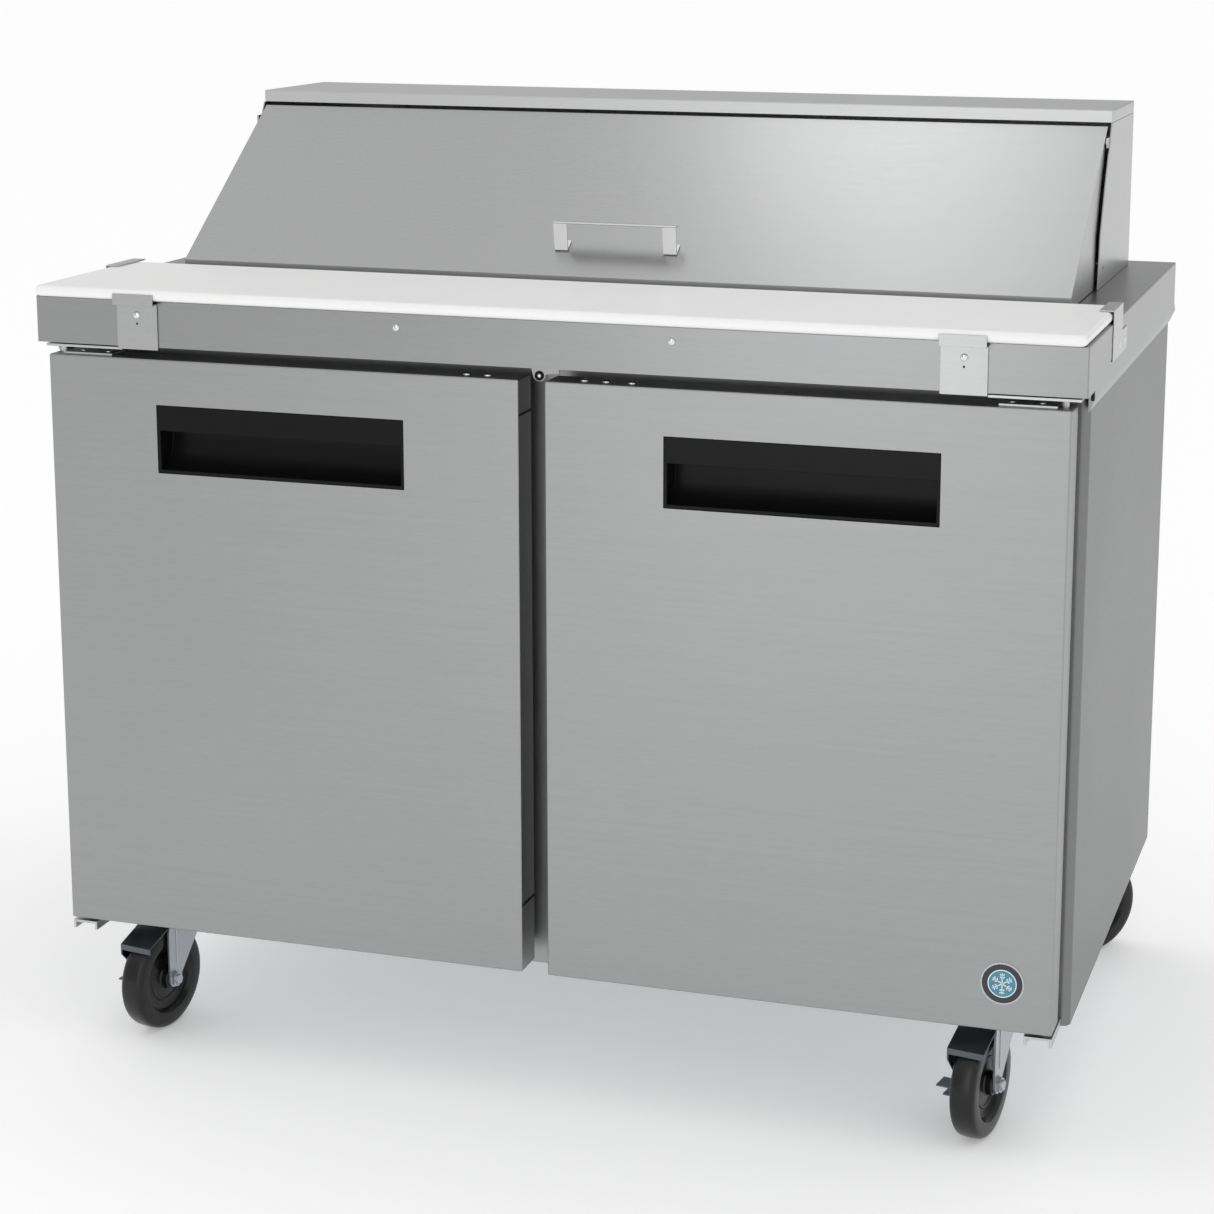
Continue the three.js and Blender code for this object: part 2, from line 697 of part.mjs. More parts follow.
// An upturned channel below the door: a plate with the pin, two side flanges turned down.
function bottomHinge(s) {
  const z = DOOR_BOTTOM - 4;
  const top = joined([
    sideBox(s, 563, 594, 0, 63.6, z - 3, z),
    sideBox(s, 563, 594, 60.6, 63.6, z - 10.5, z),
    sideBox(s, 563, 566, 0, 63.6, z - 10.5, z),
    sideBox(s, 591, 594, 0, 63.6, z - 10.5, z),
  ]);
  return top.add(rod('z', PIN_R, z - 1, DOOR_BOTTOM + 16, [s * HINGE_X, HINGE_Y], 12));
}

for (const [name, s] of SIDES) {
  place(`${name}_door_skin`, stainless, doorSkin(s));
  place(`${name}_door_liner`, whiteLiner, doorLiner(s));
  place(`${name}_door_gasket`, greyGasket, doorGasket(s));
  place(`${name}_door_pull`, blackPlastic, doorPull(s));
  place(`${name}_top_hinge`, stainless, topHinge(s));
  place(`${name}_bottom_hinge`, stainless, bottomHinge(s));
}

// ---------------------------------------------------------------- casters

// Caster parts are built about the swivel axis at x = y = 0 with the wheel's axle at y = -CASTER_TRAIL.
const AXLE_Z = WHEEL_R;
const PLATE_TOP = CABINET_BOTTOM - GAP;
const FORK_TOP = PLATE_TOP - PLATE_T - 3 * GAP - 3;

function casterPlate() {
  return joined([
    prismZ(roundedRect(-48, 48, -48, 48, 8), PLATE_TOP - PLATE_T, PLATE_TOP, 2),
    rod('z', 9, FORK_TOP - 2.5 - GAP, PLATE_TOP - PLATE_T + 1, [0, 0], 12),
    rod('z', 14, FORK_TOP - 5 - GAP, FORK_TOP - 2.5 - GAP, [0, 0], 12),
  ]);
}

function casterFork() {
  const leg = 2.5;
  const crownR = 27;
  const crownBase = FORK_TOP - 2.5;
  const crown = rod('z', crownR, crownBase, FORK_TOP, [0, 0], 20);
  const race = rod('z', crownR, FORK_TOP - 1, FORK_TOP + 3, [0, 0], 20);
  const bridge = box(-FORK_INNER - leg, FORK_INNER + leg, -CASTER_TRAIL - 6, 22, crownBase, FORK_TOP);
  const side = outline([
    [-CASTER_TRAIL - 9, AXLE_Z - 4],
    [-CASTER_TRAIL - 5, AXLE_Z - 10],
    [-CASTER_TRAIL + 5, AXLE_Z - 10],
    [-CASTER_TRAIL + 9, AXLE_Z - 4],
    [20, FORK_TOP - 14],
    [22, FORK_TOP],
    [-CASTER_TRAIL - 6, FORK_TOP],
    [-CASTER_TRAIL - 9, FORK_TOP - 12],
  ]);
  const legs = [
    prismX(side, -FORK_INNER - leg, -FORK_INNER),
    prismX(side, FORK_INNER, FORK_INNER + leg),
  ];
  const axle = rod('x', 6, -FORK_INNER - leg - 4, FORK_INNER + leg + 7, [-CASTER_TRAIL, AXLE_Z], 12);
  const nut = rod('x', 9.5, FORK_INNER + leg - 0.5, FORK_INNER + leg + 5, [-CASTER_TRAIL, AXLE_Z], 6);
  const hole = rod('z', 9 + GAP, crownBase - 1, FORK_TOP + 5, [0, 0], 12);
  return joined([crown, race, bridge, ...legs, axle, nut]).subtract(hole);
}

function casterWheel() {
  const w = WHEEL_WIDTH / 2;
  const hub = FORK_INNER - GAP;
  return turnedX([
    [6 + GAP, -hub], [13, -hub], [14, -8], [40, -6], [46, -w], [WHEEL_R - 5, -w],
    [WHEEL_R - 0.6, -w + 4], [WHEEL_R, 0], [WHEEL_R - 0.6, w - 4],
    [WHEEL_R - 5, w], [46, w], [40, 6], [14, 8], [13, hub], [6 + GAP, hub],
  ], 36, 0, -CASTER_TRAIL, AXLE_Z);
}

// A pressed brake lever: a shoe over the tyre's front, an arm outside the left leg, and a pedal.
// Its outline points are measured from the axle in (y, z).
function casterBrake() {
  const inner = -FORK_INNER - 2.5 - GAP;
  const outer = inner - 2;
  const aboutAxle = (points) => outline(points.map(([y, z]) => [y - CASTER_TRAIL, z + AXLE_Z]));
  const shoe = prismX(aboutAxle([
    [-12, 66], [-12, 68], [-48, 53.2], [-48, 46], [-46, 46], [-46, 52],
  ].reverse()), outer, 21);
  const arm = prismX(aboutAxle([
    [-48, 53.2], [-48, 40], [-17, 6], [-14, -12], [8, -9], [10, 8], [-12, 68],
  ]), outer, inner);
  const pedal = prismX(aboutAxle([[-32, -2], [-8, -2], [-8, 0], [-32, 0]]), outer - 18, outer + 1);
  const tab = prismX(aboutAxle([[-26, -14], [-10, -14], [-10, -12], [-26, -12]]), outer - 12, outer + 1);
  const web = prismX(aboutAxle([[-32, -14], [0, -14], [0, 8], [-32, 0]]), outer, inner);
  const hole = rod('x', 6 + GAP, outer - 3, inner + 3, [-CASTER_TRAIL, AXLE_Z], 12);
  return joined([shoe, arm, web, pedal, tab]).subtract(hole);
}

for (const [end, y] of [['front', CASTER_FRONT_Y], ['rear', CASTER_REAR_Y]]) {
  for (const [name, s] of SIDES) {
    const caster = new THREE.Group();
    caster.position.set(s * CASTER_X, y, 0);
    caster.rotation.z = THREE.MathUtils.degToRad(end === 'front' ? FRONT_TURN : REAR_TURN[name]);
    const label = `${end}_${name}`;
    caster.add(toMesh(`${label}_caster_fork`, zinc, casterFork()));
    caster.add(toMesh(`${label}_wheel`, blackRubber, casterWheel()));
    if (end === 'front') caster.add(toMesh(`${label}_brake`, blackSteel, casterBrake()));
    const plate = toMesh(`${label}_caster_plate`, zinc, casterPlate());
    plate.position.copy(caster.position);
    table.add(caster, plate);
  }
}

// ---------------------------------------------------------------- origin at the bottom centre

table.position.y = -(DEPTH - FRONT_REACH) / 2;
const group = new THREE.Group();
group.add(table);

export default group;
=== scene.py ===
import json
import math

import bmesh
import bpy
from bpy.props import FloatProperty, FloatVectorProperty, PointerProperty
from mathutils import Matrix, Vector

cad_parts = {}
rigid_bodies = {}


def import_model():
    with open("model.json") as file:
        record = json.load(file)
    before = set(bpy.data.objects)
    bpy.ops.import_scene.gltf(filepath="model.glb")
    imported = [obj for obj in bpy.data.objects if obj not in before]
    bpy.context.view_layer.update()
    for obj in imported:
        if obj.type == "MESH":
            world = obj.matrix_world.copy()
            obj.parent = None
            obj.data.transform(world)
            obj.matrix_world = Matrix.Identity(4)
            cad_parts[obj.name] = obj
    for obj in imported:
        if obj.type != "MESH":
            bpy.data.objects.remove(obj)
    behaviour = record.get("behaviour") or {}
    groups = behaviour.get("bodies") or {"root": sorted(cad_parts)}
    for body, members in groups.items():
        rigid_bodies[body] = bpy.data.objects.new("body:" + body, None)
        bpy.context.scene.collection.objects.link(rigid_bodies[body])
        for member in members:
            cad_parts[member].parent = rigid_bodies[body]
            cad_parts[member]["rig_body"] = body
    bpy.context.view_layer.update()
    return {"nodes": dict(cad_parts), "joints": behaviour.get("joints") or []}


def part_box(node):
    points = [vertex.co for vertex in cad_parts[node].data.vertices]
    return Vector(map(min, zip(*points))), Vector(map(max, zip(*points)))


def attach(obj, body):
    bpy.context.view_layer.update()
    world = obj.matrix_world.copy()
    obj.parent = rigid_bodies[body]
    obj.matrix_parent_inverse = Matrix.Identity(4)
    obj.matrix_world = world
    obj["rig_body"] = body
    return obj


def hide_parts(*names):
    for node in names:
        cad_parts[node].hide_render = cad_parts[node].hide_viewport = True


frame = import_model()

bl_info = {
    "name": "Refrigerated prep table",
    "version": (1, 0, 0),
    "blender": (4, 5, 0),
    "location": "3D View > Sidebar > Prep Table",
    "description": "Sheet metal, board, doors, casters and cold unit of a sandwich prep table",
    "category": "Object",
}

MM = 0.001
WELD = 0.02 * MM
FLAT_ANGLE = math.radians(0.5)
SIDES = (("left", -1), ("right", 1))
ENDS = ("front", "rear")

NODES = frame["nodes"]
JOINTS = {joint["name"]: joint for joint in frame["joints"]}


# ------------------------------------------------------------------ sizes and colours


def length(label, description, default):
    return FloatProperty(name=label, description=description, default=default, min=0.0,
                         subtype="DISTANCE", unit="LENGTH")


def colour(label, description, default):
    return FloatVectorProperty(name=label, description=description, default=default, min=0.0,
                               max=1.0, size=3, subtype="COLOR")


def amount(label, description, default, high=1.0):
    return FloatProperty(name=label, description=description, default=default, min=0.0, max=high,
                         subtype="FACTOR")


class PrepTableSizes(bpy.types.PropertyGroup):
    fold_radius: length("Fold radius", "Outside radius where sheet steel is folded", 1.4 * MM)
    door_radius: length("Door edge radius", "Outside radius of the door skins", 2.2 * MM)
    cut_radius: length("Cut edge radius", "Softening of cut sheet edges", 0.3 * MM)
    board_round: length("Board round", "Rounding of the cutting board's rim", 5.2 * MM)
    board_corner: length("Board corner", "Corner radius of the cutting board in plan", 10 * MM)
    screw_radius: length("Screw radius", "Radius of the pan head screws", 4.2 * MM)
    pan_corner: length("Pan corner", "Corner radius of the food pans", 16 * MM)
    pan_wall: length("Pan wall", "Sheet thickness of the food pans", 0.9 * MM)
    wire_radius: length("Shelf wire radius", "Radius of a shelf's cross wires", 1.6 * MM)
    badge_radius: length("Badge radius", "Radius of the round badge on the door", 24 * MM)


class PrepTableColours(bpy.types.PropertyGroup):
    steel: colour("Brushed steel", "Door skins and face frame", (0.355, 0.357, 0.36))
    sides: colour("Side steel", "Cabinet side panels", (0.222, 0.224, 0.227))
    worktop: colour("Worktop steel", "Worktop and fascia", (0.318, 0.32, 0.323))
    satin: colour("Satin steel", "Lid and hood", (0.425, 0.427, 0.43))
    bright: colour("Bright steel", "Brackets, clips and hood cap", (0.56, 0.563, 0.567))
    chrome: colour("Chrome", "Lid handle", (0.78, 0.78, 0.79))
    zinc: colour("Zinc plate", "Caster forks and plates", (0.31, 0.325, 0.35))
    dark_zinc: colour("Dark zinc", "Brake levers", (0.13, 0.14, 0.15))
    galvanised: colour("Galvanised steel", "Back, base and machine cover", (0.42, 0.43, 0.44))
    board: colour("Cutting board", "White plastic board", (0.91, 0.91, 0.905))
    black: colour("Black plastic", "Door pulls and fans", (0.005, 0.005, 0.0054))
    wheel: colour("Wheel", "Hard rubber wheels", (0.006, 0.006, 0.0064))
    gasket: colour("Gasket", "Door seals", (0.045, 0.046, 0.048))
    liner: colour("Liner", "White inner liner and door liners", (0.72, 0.73, 0.735))
    badge_ring: colour("Badge ring", "Outer ring of the badge", (0.006, 0.009, 0.016))
    badge_field: colour("Badge field", "Blue field of the badge", (0.035, 0.24, 0.34))


class PrepTableStage(bpy.types.PropertyGroup):
    floor: colour("Floor", "Pale studio floor", (0.93, 0.93, 0.93))
    sky: amount("Sky", "Strength of the even studio light", 0.9, 4.0)
    overhead: amount("Overhead", "Brightness of the softbox over the lid", 1.5, 20.0)
    strip: amount("Strip", "Brightness of the tall softbox beside the camera", 1.0, 20.0)


def sizes():
    return bpy.context.scene.prep_table_sizes


def colours():
    return bpy.context.scene.prep_table_colours


# ------------------------------------------------------------------ materials


class Sock:
    """A shader value that takes part in sums and products by adding Math nodes."""

    def __init__(self, finish, socket):
        self.finish = finish
        self.socket = socket

    def maths(self, operation, a, b):
        return self.finish.add("ShaderNodeMath", {"operation": operation}, {0: a, 1: b})

    def __add__(self, other):
        return self.maths("ADD", self, other)

    def __radd__(self, other):
        return self.maths("ADD", other, self)

    def __sub__(self, other):
        return self.maths("SUBTRACT", self, other)

    def __rsub__(self, other):
        return self.maths("SUBTRACT", other, self)

    def __mul__(self, other):
        return self.maths("MULTIPLY", self, other)

    def __rmul__(self, other):
        return self.maths("MULTIPLY", other, self)


class Finish:
    """A material under construction: its node tree and its Principled shader."""

    def __init__(self, name):
        self.material = bpy.data.materials.new(name)
        self.material.use_nodes = True
        self.tree = self.material.node_tree
        self.tree.nodes.clear()
        self.shader = self.tree.nodes.new("ShaderNodeBsdfPrincipled")
        output = self.tree.nodes.new("ShaderNodeOutputMaterial")
        self.tree.links.new(self.shader.outputs["BSDF"], output.inputs["Surface"])

    def add(self, kind, settings=None, inputs=None, out=0):
        node = self.tree.nodes.new(kind)
        for key, value in (settings or {}).items():
            if key == "stops":
                for stop, (position, tone) in zip(node.color_ramp.elements, value):
                    stop.position = position
                    stop.color = (tone, tone, tone, 1.0)
            else:
                setattr(node, key, value)
        for key, value in (inputs or {}).items():
            self.feed(node.inputs[key], value)
        return Sock(self, node.outputs[out])

    def feed(self, socket, value):
        if isinstance(value, Sock):
            self.tree.links.new(value.socket, socket)
        else:
            socket.default_value = value

    def place(self, scale=(1, 1, 1), turn=(0, 0, 0)):
        """Object coordinates in metres, scaled along each axis."""
        here = self.add("ShaderNodeTexCoord", out="Object")
        return self.add("ShaderNodeMapping", {}, {"Vector": here, "Scale": scale, "Rotation": turn})

    def noise(self, scale, detail=2.0, rough=0.5, turn=(0, 0, 0)):
        inputs = {"Vector": self.place(scale, turn), "Scale": 1.0, "Detail": detail, "Roughness": rough}
        return self.add("ShaderNodeTexNoise", {}, inputs, "Fac")

    def ramp(self, value, low, high):
        """value stretched so that low becomes 0 and high becomes 1."""
        return self.add("ShaderNodeMapRange", {}, {"Value": value, "From Min": low, "From Max": high})

    def mix(self, mask, first, second):
        node = self.tree.nodes.new("ShaderNodeMix")
        node.data_type = "RGBA"
        self.feed(node.inputs[0], mask)
        for socket, value in ((node.inputs[6], first), (node.inputs[7], second)):
            self.feed(socket, value if isinstance(value, Sock) else (*value, 1.0))
        return Sock(self, node.outputs[2])

    def bump(self, height, strength, distance):
        inputs = {"Height": height, "Strength": strength, "Distance": distance}
        return self.add("ShaderNodeBump", {}, inputs, "Normal")

    def set(self, **values):
        for key, value in values.items():
            socket = self.shader.inputs[key.replace("_", " ")]
            if key == "Base_Color" and not isinstance(value, Sock):
                value = (*value, 1.0)
            self.feed(socket, value)
        return self.material


def shaded(tone, factor):
    return tuple(min(1.0, channel * factor) for channel in tone)


def once(make):
    """Makes a material the first time it is asked for, and hands out the same one after that."""
    def hand_out(*args):
        name = "_".join((make.__name__, *map(str, args)))
        return bpy.data.materials.get(name) or make(name, *args)
    return hand_out


GRAIN_ACROSS = 900.0
GRAIN_ALONG = 55.0


def stretched(along, across, lengthwise):
    return tuple(lengthwise if axis == along else across for axis in "XYZ")


def brushed(name, tone, along, roughness, contrast=0.07, relief=0.12):
    """Sheet steel with hairline grain along one axis, faint broad bands and a soft haze."""
    finish = Finish(name)
    hair = finish.noise(stretched(along, GRAIN_ACROSS, GRAIN_ALONG), 3.0, 0.6)
    streak = finish.noise(stretched(along, 260.0, 5.0), 2.0)
    haze = finish.noise((2.6, 2.6, 2.6), 1.0)
    mask = 0.55 * hair + 0.2 * streak + 0.25 * haze
    mask = finish.ramp(mask, 0.3, 0.7)
    base = finish.mix(mask, shaded(tone, 1 - contrast), shaded(tone, 1 + contrast))
    rough = roughness + 0.14 * (hair - 0.5) + 0.08 * (haze - 0.5)
    normal = finish.bump(hair, relief, 0.12 * MM)
    return finish.set(Base_Color=base, Metallic=1.0, Roughness=rough, Normal=normal)


@once
def steel(name, along):
    return brushed(name, colours().steel, along, 0.4)


@once
def side_steel(name, along):
    return brushed(name, colours().sides, along, 0.42)


@once
def worktop_steel(name, along):
    return brushed(name, colours().worktop, along, 0.32, 0.06, 0.08)


@once
def satin(name, along):
    return brushed(name, colours().satin, along, 0.3, 0.045, 0.05)


@once
def bright(name, along):
    return brushed(name, colours().bright, along, 0.38, 0.04)


@once
def pan_steel(name):
    return brushed(name, colours().bright, "Z", 0.24, 0.05)


@once
def chrome(name):
    finish = Finish(name)
    smear = finish.noise((60.0, 60.0, 60.0), 2.0)
    base = finish.mix(smear, shaded(colours().chrome, 0.94), colours().chrome)
    return finish.set(Base_Color=base, Metallic=1.0, Roughness=0.05 + 0.08 * smear,
                      Normal=finish.bump(smear, 0.04, 0.1 * MM))


def plated(name, tone, roughness):
    """Electroplated or rolled steel: a fine speckle under soft cloudy patches."""
    finish = Finish(name)
    speckle = finish.noise((900.0, 900.0, 900.0), 2.0, 0.7)
    cloud = finish.noise((45.0, 45.0, 45.0), 3.0)
    base = finish.mix(0.5 * speckle + 0.5 * cloud, shaded(tone, 0.82), shaded(tone, 1.18))
    return finish.set(Base_Color=base, Metallic=1.0, Roughness=roughness + 0.2 * (cloud - 0.5),
                      Normal=finish.bump(speckle, 0.12, 0.08 * MM))


@once
def zinc(name):
    return plated(name, colours().zinc, 0.36)


@once
def dark_zinc(name):
    return plated(name, colours().dark_zinc, 0.38)


@once
def galvanised(name):
    """Hot dipped sheet with its leafy spangle."""
    finish = Finish(name)
    cells = finish.add("ShaderNodeTexVoronoi", {"feature": "F1"},
                       {"Vector": finish.place((75.0, 75.0, 75.0)), "Scale": 1.0}, "Color")
    leaf = finish.add("ShaderNodeSeparateColor", {}, {"Color": cells}, "Red")
    haze = finish.noise((12.0, 12.0, 12.0), 3.0)
    tone = colours().galvanised
    base = finish.mix(0.6 * leaf + 0.4 * haze, shaded(tone, 0.84), shaded(tone, 1.14))
    return finish.set(Base_Color=base, Metallic=1.0, Roughness=0.36 + 0.16 * leaf,
                      Normal=finish.bump(leaf, 0.05, 0.1 * MM))


def moulded(name, tone, roughness, depth=0.12, grain=1400.0, mottle=0.06):
    """Plastic or rubber with a fine moulded texture and a slight change of tone."""
    finish = Finish(name)
    fine = finish.noise((grain, grain, grain), 2.0, 0.6)
    cloud = finish.noise((22.0, 22.0, 22.0), 3.0)
    base = finish.mix(cloud, shaded(tone, 1 - mottle), shaded(tone, 1 + mottle))
    return finish.set(Base_Color=base, Roughness=roughness + 0.12 * (cloud - 0.5),
                      Normal=finish.bump(fine, depth, 0.12 * MM))


def dull(material, shine):
    """The same finish with a weaker mirror image of its surroundings."""
    material.node_tree.nodes["Principled BSDF"].inputs["Specular IOR Level"].default_value = shine
    return material


@once
def board_plastic(name):
    """White board plastic with faint knife strokes across it."""
    finish = Finish(name)
    stroke = finish.noise((160.0, 5.0, 5.0), 4.0, 0.65, (0, 0, math.radians(24)))
    cloud = finish.noise((5.0, 5.0, 5.0), 2.0)
    pebble = finish.noise((700.0, 700.0, 700.0), 2.0)
    tone = colours().board
    base = finish.mix(0.5 * cloud + 0.5 * stroke, shaded(tone, 0.97), shaded(tone, 1.03))
    relief = 0.6 * pebble + 0.4 * stroke
    return finish.set(Base_Color=base, Roughness=0.4 + 0.12 * (stroke - 0.5),
                      Normal=finish.bump(relief, 0.1, 0.15 * MM))


@once
def black_plastic(name):
    return dull(moulded(name, colours().black, 0.3), 0.14)


@once
def wheel_rubber(name):
    return dull(moulded(name, colours().wheel, 0.26, 0.05, 500.0, 0.3), 0.4)


@once
def gasket_rubber(name):
    return moulded(name, colours().gasket, 0.6, 0.1, 900.0, 0.12)


@once
def liner_plastic(name):
    return moulded(name, colours().liner, 0.3, 0.06, 400.0, 0.03)


@once
def wire_coat(name):
    return moulded(name, colours().liner, 0.28, 0.05, 300.0, 0.02)


@once
def foam(name):
    return moulded(name, (0.72, 0.6, 0.33), 0.85, 0.4, 300.0, 0.15)


@once
def fin_metal(name):
    return brushed(name, (0.6, 0.61, 0.63), "Z", 0.4, 0.12)


@once
def black_paint(name):
    return moulded(name, (0.012, 0.012, 0.013), 0.3, 0.08, 250.0, 0.15)


@once
def copper(name):
    return plated(name, (0.72, 0.3, 0.17), 0.28)


@once
def enamel(name, part):
    """Glossy printed enamel for the badge, slightly domed by a clear coat."""
    tone = {"ring": colours().badge_ring, "field": colours().badge_field,
            "white": (0.82, 0.84, 0.86), "rim": (0.5, 0.52, 0.55)}[part]
    finish = Finish(name)
    cloud = finish.noise((90.0, 90.0, 90.0), 2.0)
    base = finish.mix(cloud, shaded(tone, 0.92), shaded(tone, 1.08))
    return finish.set(Base_Color=base, Roughness=0.2 + 0.08 * cloud, Coat_Weight=0.6)


@once
def shadow_gap(name):
    return moulded(name, (0.006, 0.006, 0.006), 0.75)


# ------------------------------------------------------------------ shapes


def from_node(node):
    """A welded copy of a frame node, with its flat faces in one piece."""
    shape = bmesh.new()
    shape.from_mesh(NODES[node].data)
    bmesh.ops.remove_doubles(shape, verts=shape.verts, dist=WELD)
    bmesh.ops.dissolve_limit(shape, angle_limit=FLAT_ANGLE, verts=shape.verts, edges=shape.edges)
    return shape


def soften(shape, width, segments=2, pick=None, corner=30):
    """Rounds the edges that turn by more than corner degrees and that pick accepts."""
    edges = [edge for edge in shape.edges
             if edge.is_manifold and edge.calc_face_angle(0) > math.radians(corner)
             and (pick is None or pick(edge))]
    bmesh.ops.bevel(shape, geom=edges, offset=width, offset_type="OFFSET", affect="EDGES",
                    segments=segments, profile=0.5, material=-1, clamp_overlap=True)
    return shape


def middle(edge):
    return (edge.verts[0].co + edge.verts[1].co) / 2


def cuboid(x0, x1, y0, y1, z0, z1):
    shape = bmesh.new()
    centre = Matrix.Translation(((x0 + x1) / 2, (y0 + y1) / 2, (z0 + z1) / 2))
    spread = Matrix.Diagonal((abs(x1 - x0), abs(y1 - y0), abs(z1 - z0), 1))
    bmesh.ops.create_cube(shape, size=1, matrix=centre @ spread)
    return shape


def rounded_box(x0, x1, y0, y1, z0, z1, radius, segments=2):
    return soften(cuboid(x0, x1, y0, y1, z0, z1), radius, segments)


def facing(direction, at):
    """Turns local +Z to a direction and moves the origin to a point."""
    return Matrix.Translation(at) @ Vector(direction).to_track_quat("Z", "Y").to_matrix().to_4x4()


def turned(profile, place, steps=32, closed=False):
    """A turned solid from (radius, height) points. An open profile starts and ends on its axis."""
    shape = bmesh.new()
    points = [shape.verts.new((radius, 0, height)) for radius, height in profile]
    lines = [shape.edges.new(pair) for pair in zip(points, points[1:])]
    if closed:
        lines.append(shape.edges.new((points[-1], points[0])))
    bmesh.ops.spin(shape, geom=points + lines, cent=(0, 0, 0), axis=(0, 0, 1), dvec=(0, 0, 0),
                   angle=2 * math.pi, steps=steps, use_merge=True, use_duplicate=False)
    bmesh.ops.remove_doubles(shape, verts=shape.verts, dist=0.001 * MM)
    bmesh.ops.recalc_face_normals(shape, faces=shape.faces)
    bmesh.ops.transform(shape, matrix=place, verts=shape.verts)
    return shape


def rod(start, end, radius, sides=12):
    start, end = Vector(start), Vector(end)
    shape = bmesh.new()
    place = facing(end - start, (start + end) / 2)
    bmesh.ops.create_cone(shape, cap_ends=True, segments=sides, radius1=radius, radius2=radius,
                          depth=(end - start).length, matrix=place)
    return shape


def plate(outline, depth, place):
    """A flat plate: the outline's (x, y) points, pushed up by depth, then put in place."""
    shape = bmesh.new()
    face = shape.faces.new([shape.verts.new((x, y, 0)) for x, y in outline])
    pushed = bmesh.ops.extrude_face_region(shape, geom=[face])["geom"]
    moved = [item for item in pushed if isinstance(item, bmesh.types.BMVert)]
    bmesh.ops.translate(shape, vec=(0, 0, depth), verts=moved)
    bmesh.ops.recalc_face_normals(shape, faces=shape.faces)
    bmesh.ops.transform(shape, matrix=place, verts=shape.verts)
    return shape


def arc(centre, radius, start, end, steps=8):
    """Points along an arc in degrees."""
    angles = [math.radians(start + (end - start) * i / steps) for i in range(steps + 1)]
    return [(centre[0] + radius * math.cos(a), centre[1] + radius * math.sin(a)) for a in angles]


def window_frame(x0, x1, z0, z1, width, y0, y1):
    """A rectangular ring standing in the XZ plane between two depths."""
    shape = bmesh.new()
    corners = ((x0, z0), (x1, z0), (x1, z1), (x0, z1))
    face = shape.faces.new([shape.verts.new((x, y0, z)) for x, z in corners])
    shape.normal_update()
    bmesh.ops.inset_region(shape, faces=[face], thickness=width, use_even_offset=True, use_boundary=True)
    bmesh.ops.delete(shape, geom=[face], context="FACES_ONLY")
    pushed = bmesh.ops.extrude_face_region(shape, geom=shape.faces[:])["geom"]
    moved = [item for item in pushed if isinstance(item, bmesh.types.BMVert)]
    bmesh.ops.translate(shape, vec=(0, y1 - y0, 0), verts=moved)
    bmesh.ops.recalc_face_normals(shape, faces=shape.faces)
    return shape


def together(shapes):
    """Several shapes as one, each keeping its own closed surface."""
    whole = bmesh.new()
    for shape in shapes:
        spare = bpy.data.meshes.new("spare")
        shape.to_mesh(spare)
        whole.from_mesh(spare)
        bpy.data.meshes.remove(spare)
        shape.free()
    return whole


def finished(name, shape, material, body, replaced=(), crease=38, even=True):
    """Makes the piece, smooths it up to the crease angle, and hangs it on its body."""
    for face in shape.faces:
        face.smooth = True
    for edge in shape.edges:
        edge.smooth = edge.is_manifold and edge.calc_face_angle(0) < math.radians(crease)
    mesh = bpy.data.meshes.new(name)
    shape.to_mesh(mesh)
    shape.free()
    mesh.materials.append(material)
    piece = bpy.data.objects.new(name, mesh)
    bpy.context.scene.collection.objects.link(piece)
    if even:
        normals = piece.modifiers.new("even_normals", "WEIGHTED_NORMAL")
        normals.keep_sharp = True
    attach(piece, body)
    if replaced:
        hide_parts(*replaced)
    return piece


def refined(node, material, width, segments=2, shape=None, crease=38):
    """The finished piece for a frame node: its own shape with softened edges."""
    shape = soften(shape or from_node(node), width, segments)
    return finished(f"{node}_piece", shape, material, NODES[node]["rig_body"], (node,), crease)


def recoat(node, material):
    """Keeps a frame node's own shape and gives it a finish."""
    for slot in NODES[node].material_slots:
        slot.material = material


def pan_head(at, direction, radius, height=None):
    """A domed screw head with a shallow drive recess, standing on a point of a face."""
    height = height or radius * 0.62
    profile = [(0, height * 0.62), (radius * 0.2, height * 0.66), (radius * 0.3, height * 0.97)]
    for step in range(6):
        angle = math.radians(70 - step * 12)
        profile.append((radius * math.cos(angle), height * (0.2 + 0.8 * math.sin(angle))))
    profile += [(radius, height * 0.12), (radius, 0), (0, 0)]
    return turned(profile, facing(direction, at), 20)


def hex_head(at, direction, radius, height, turn=0.0):
    """A hexagon nut or bolt head with a chamfered top."""
    angles = [math.radians(60 * i) + turn for i in range(6)]
    corners = [(radius * math.cos(angle), radius * math.sin(angle)) for angle in angles]
    shape = plate(corners, height, Matrix.Identity(4))
    soften(shape, radius * 0.1, 2)
    bmesh.ops.transform(shape, matrix=facing(direction, at), verts=shape.verts)
    return shape


# Places a flat plate in the YZ plane, pushed along +X.
SIDEWAYS = Matrix(((0, 0, 1, 0), (1, 0, 0, 0), (0, 1, 0, 0), (0, 0, 0, 1)))
# Places a flat plate in the XZ plane, pushed along -Y.
FRONTWAYS = Matrix(((1, 0, 0, 0), (0, 0, -1, 0), (0, 1, 0, 0), (0, 0, 0, 1)))

UP = (0, 0, 1)
DOWN = (0, 0, -1)
OUT_FRONT = (0, -1, 0)
OUT_BACK = (0, 1, 0)

WORK_LOW, WORK_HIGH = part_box("worktop")
FRONT = WORK_LOW.y
WORK_Z = WORK_HIGH.z
HALF_WIDTH = 609.6 * MM
FASCIA_LOW = WORK_Z - 54 * MM
LID_FRONT = -103 * MM
LID_FOOT = 928.1 * MM
LID_SLOPE = math.radians(35.65)
LOUVRE_ROWS = 9
LOUVRE_PITCH = 20 * MM
EDGE_STRIP_HEIGHTS = (807.4 * MM, 238 * MM)
SHELF_GAPS = 23


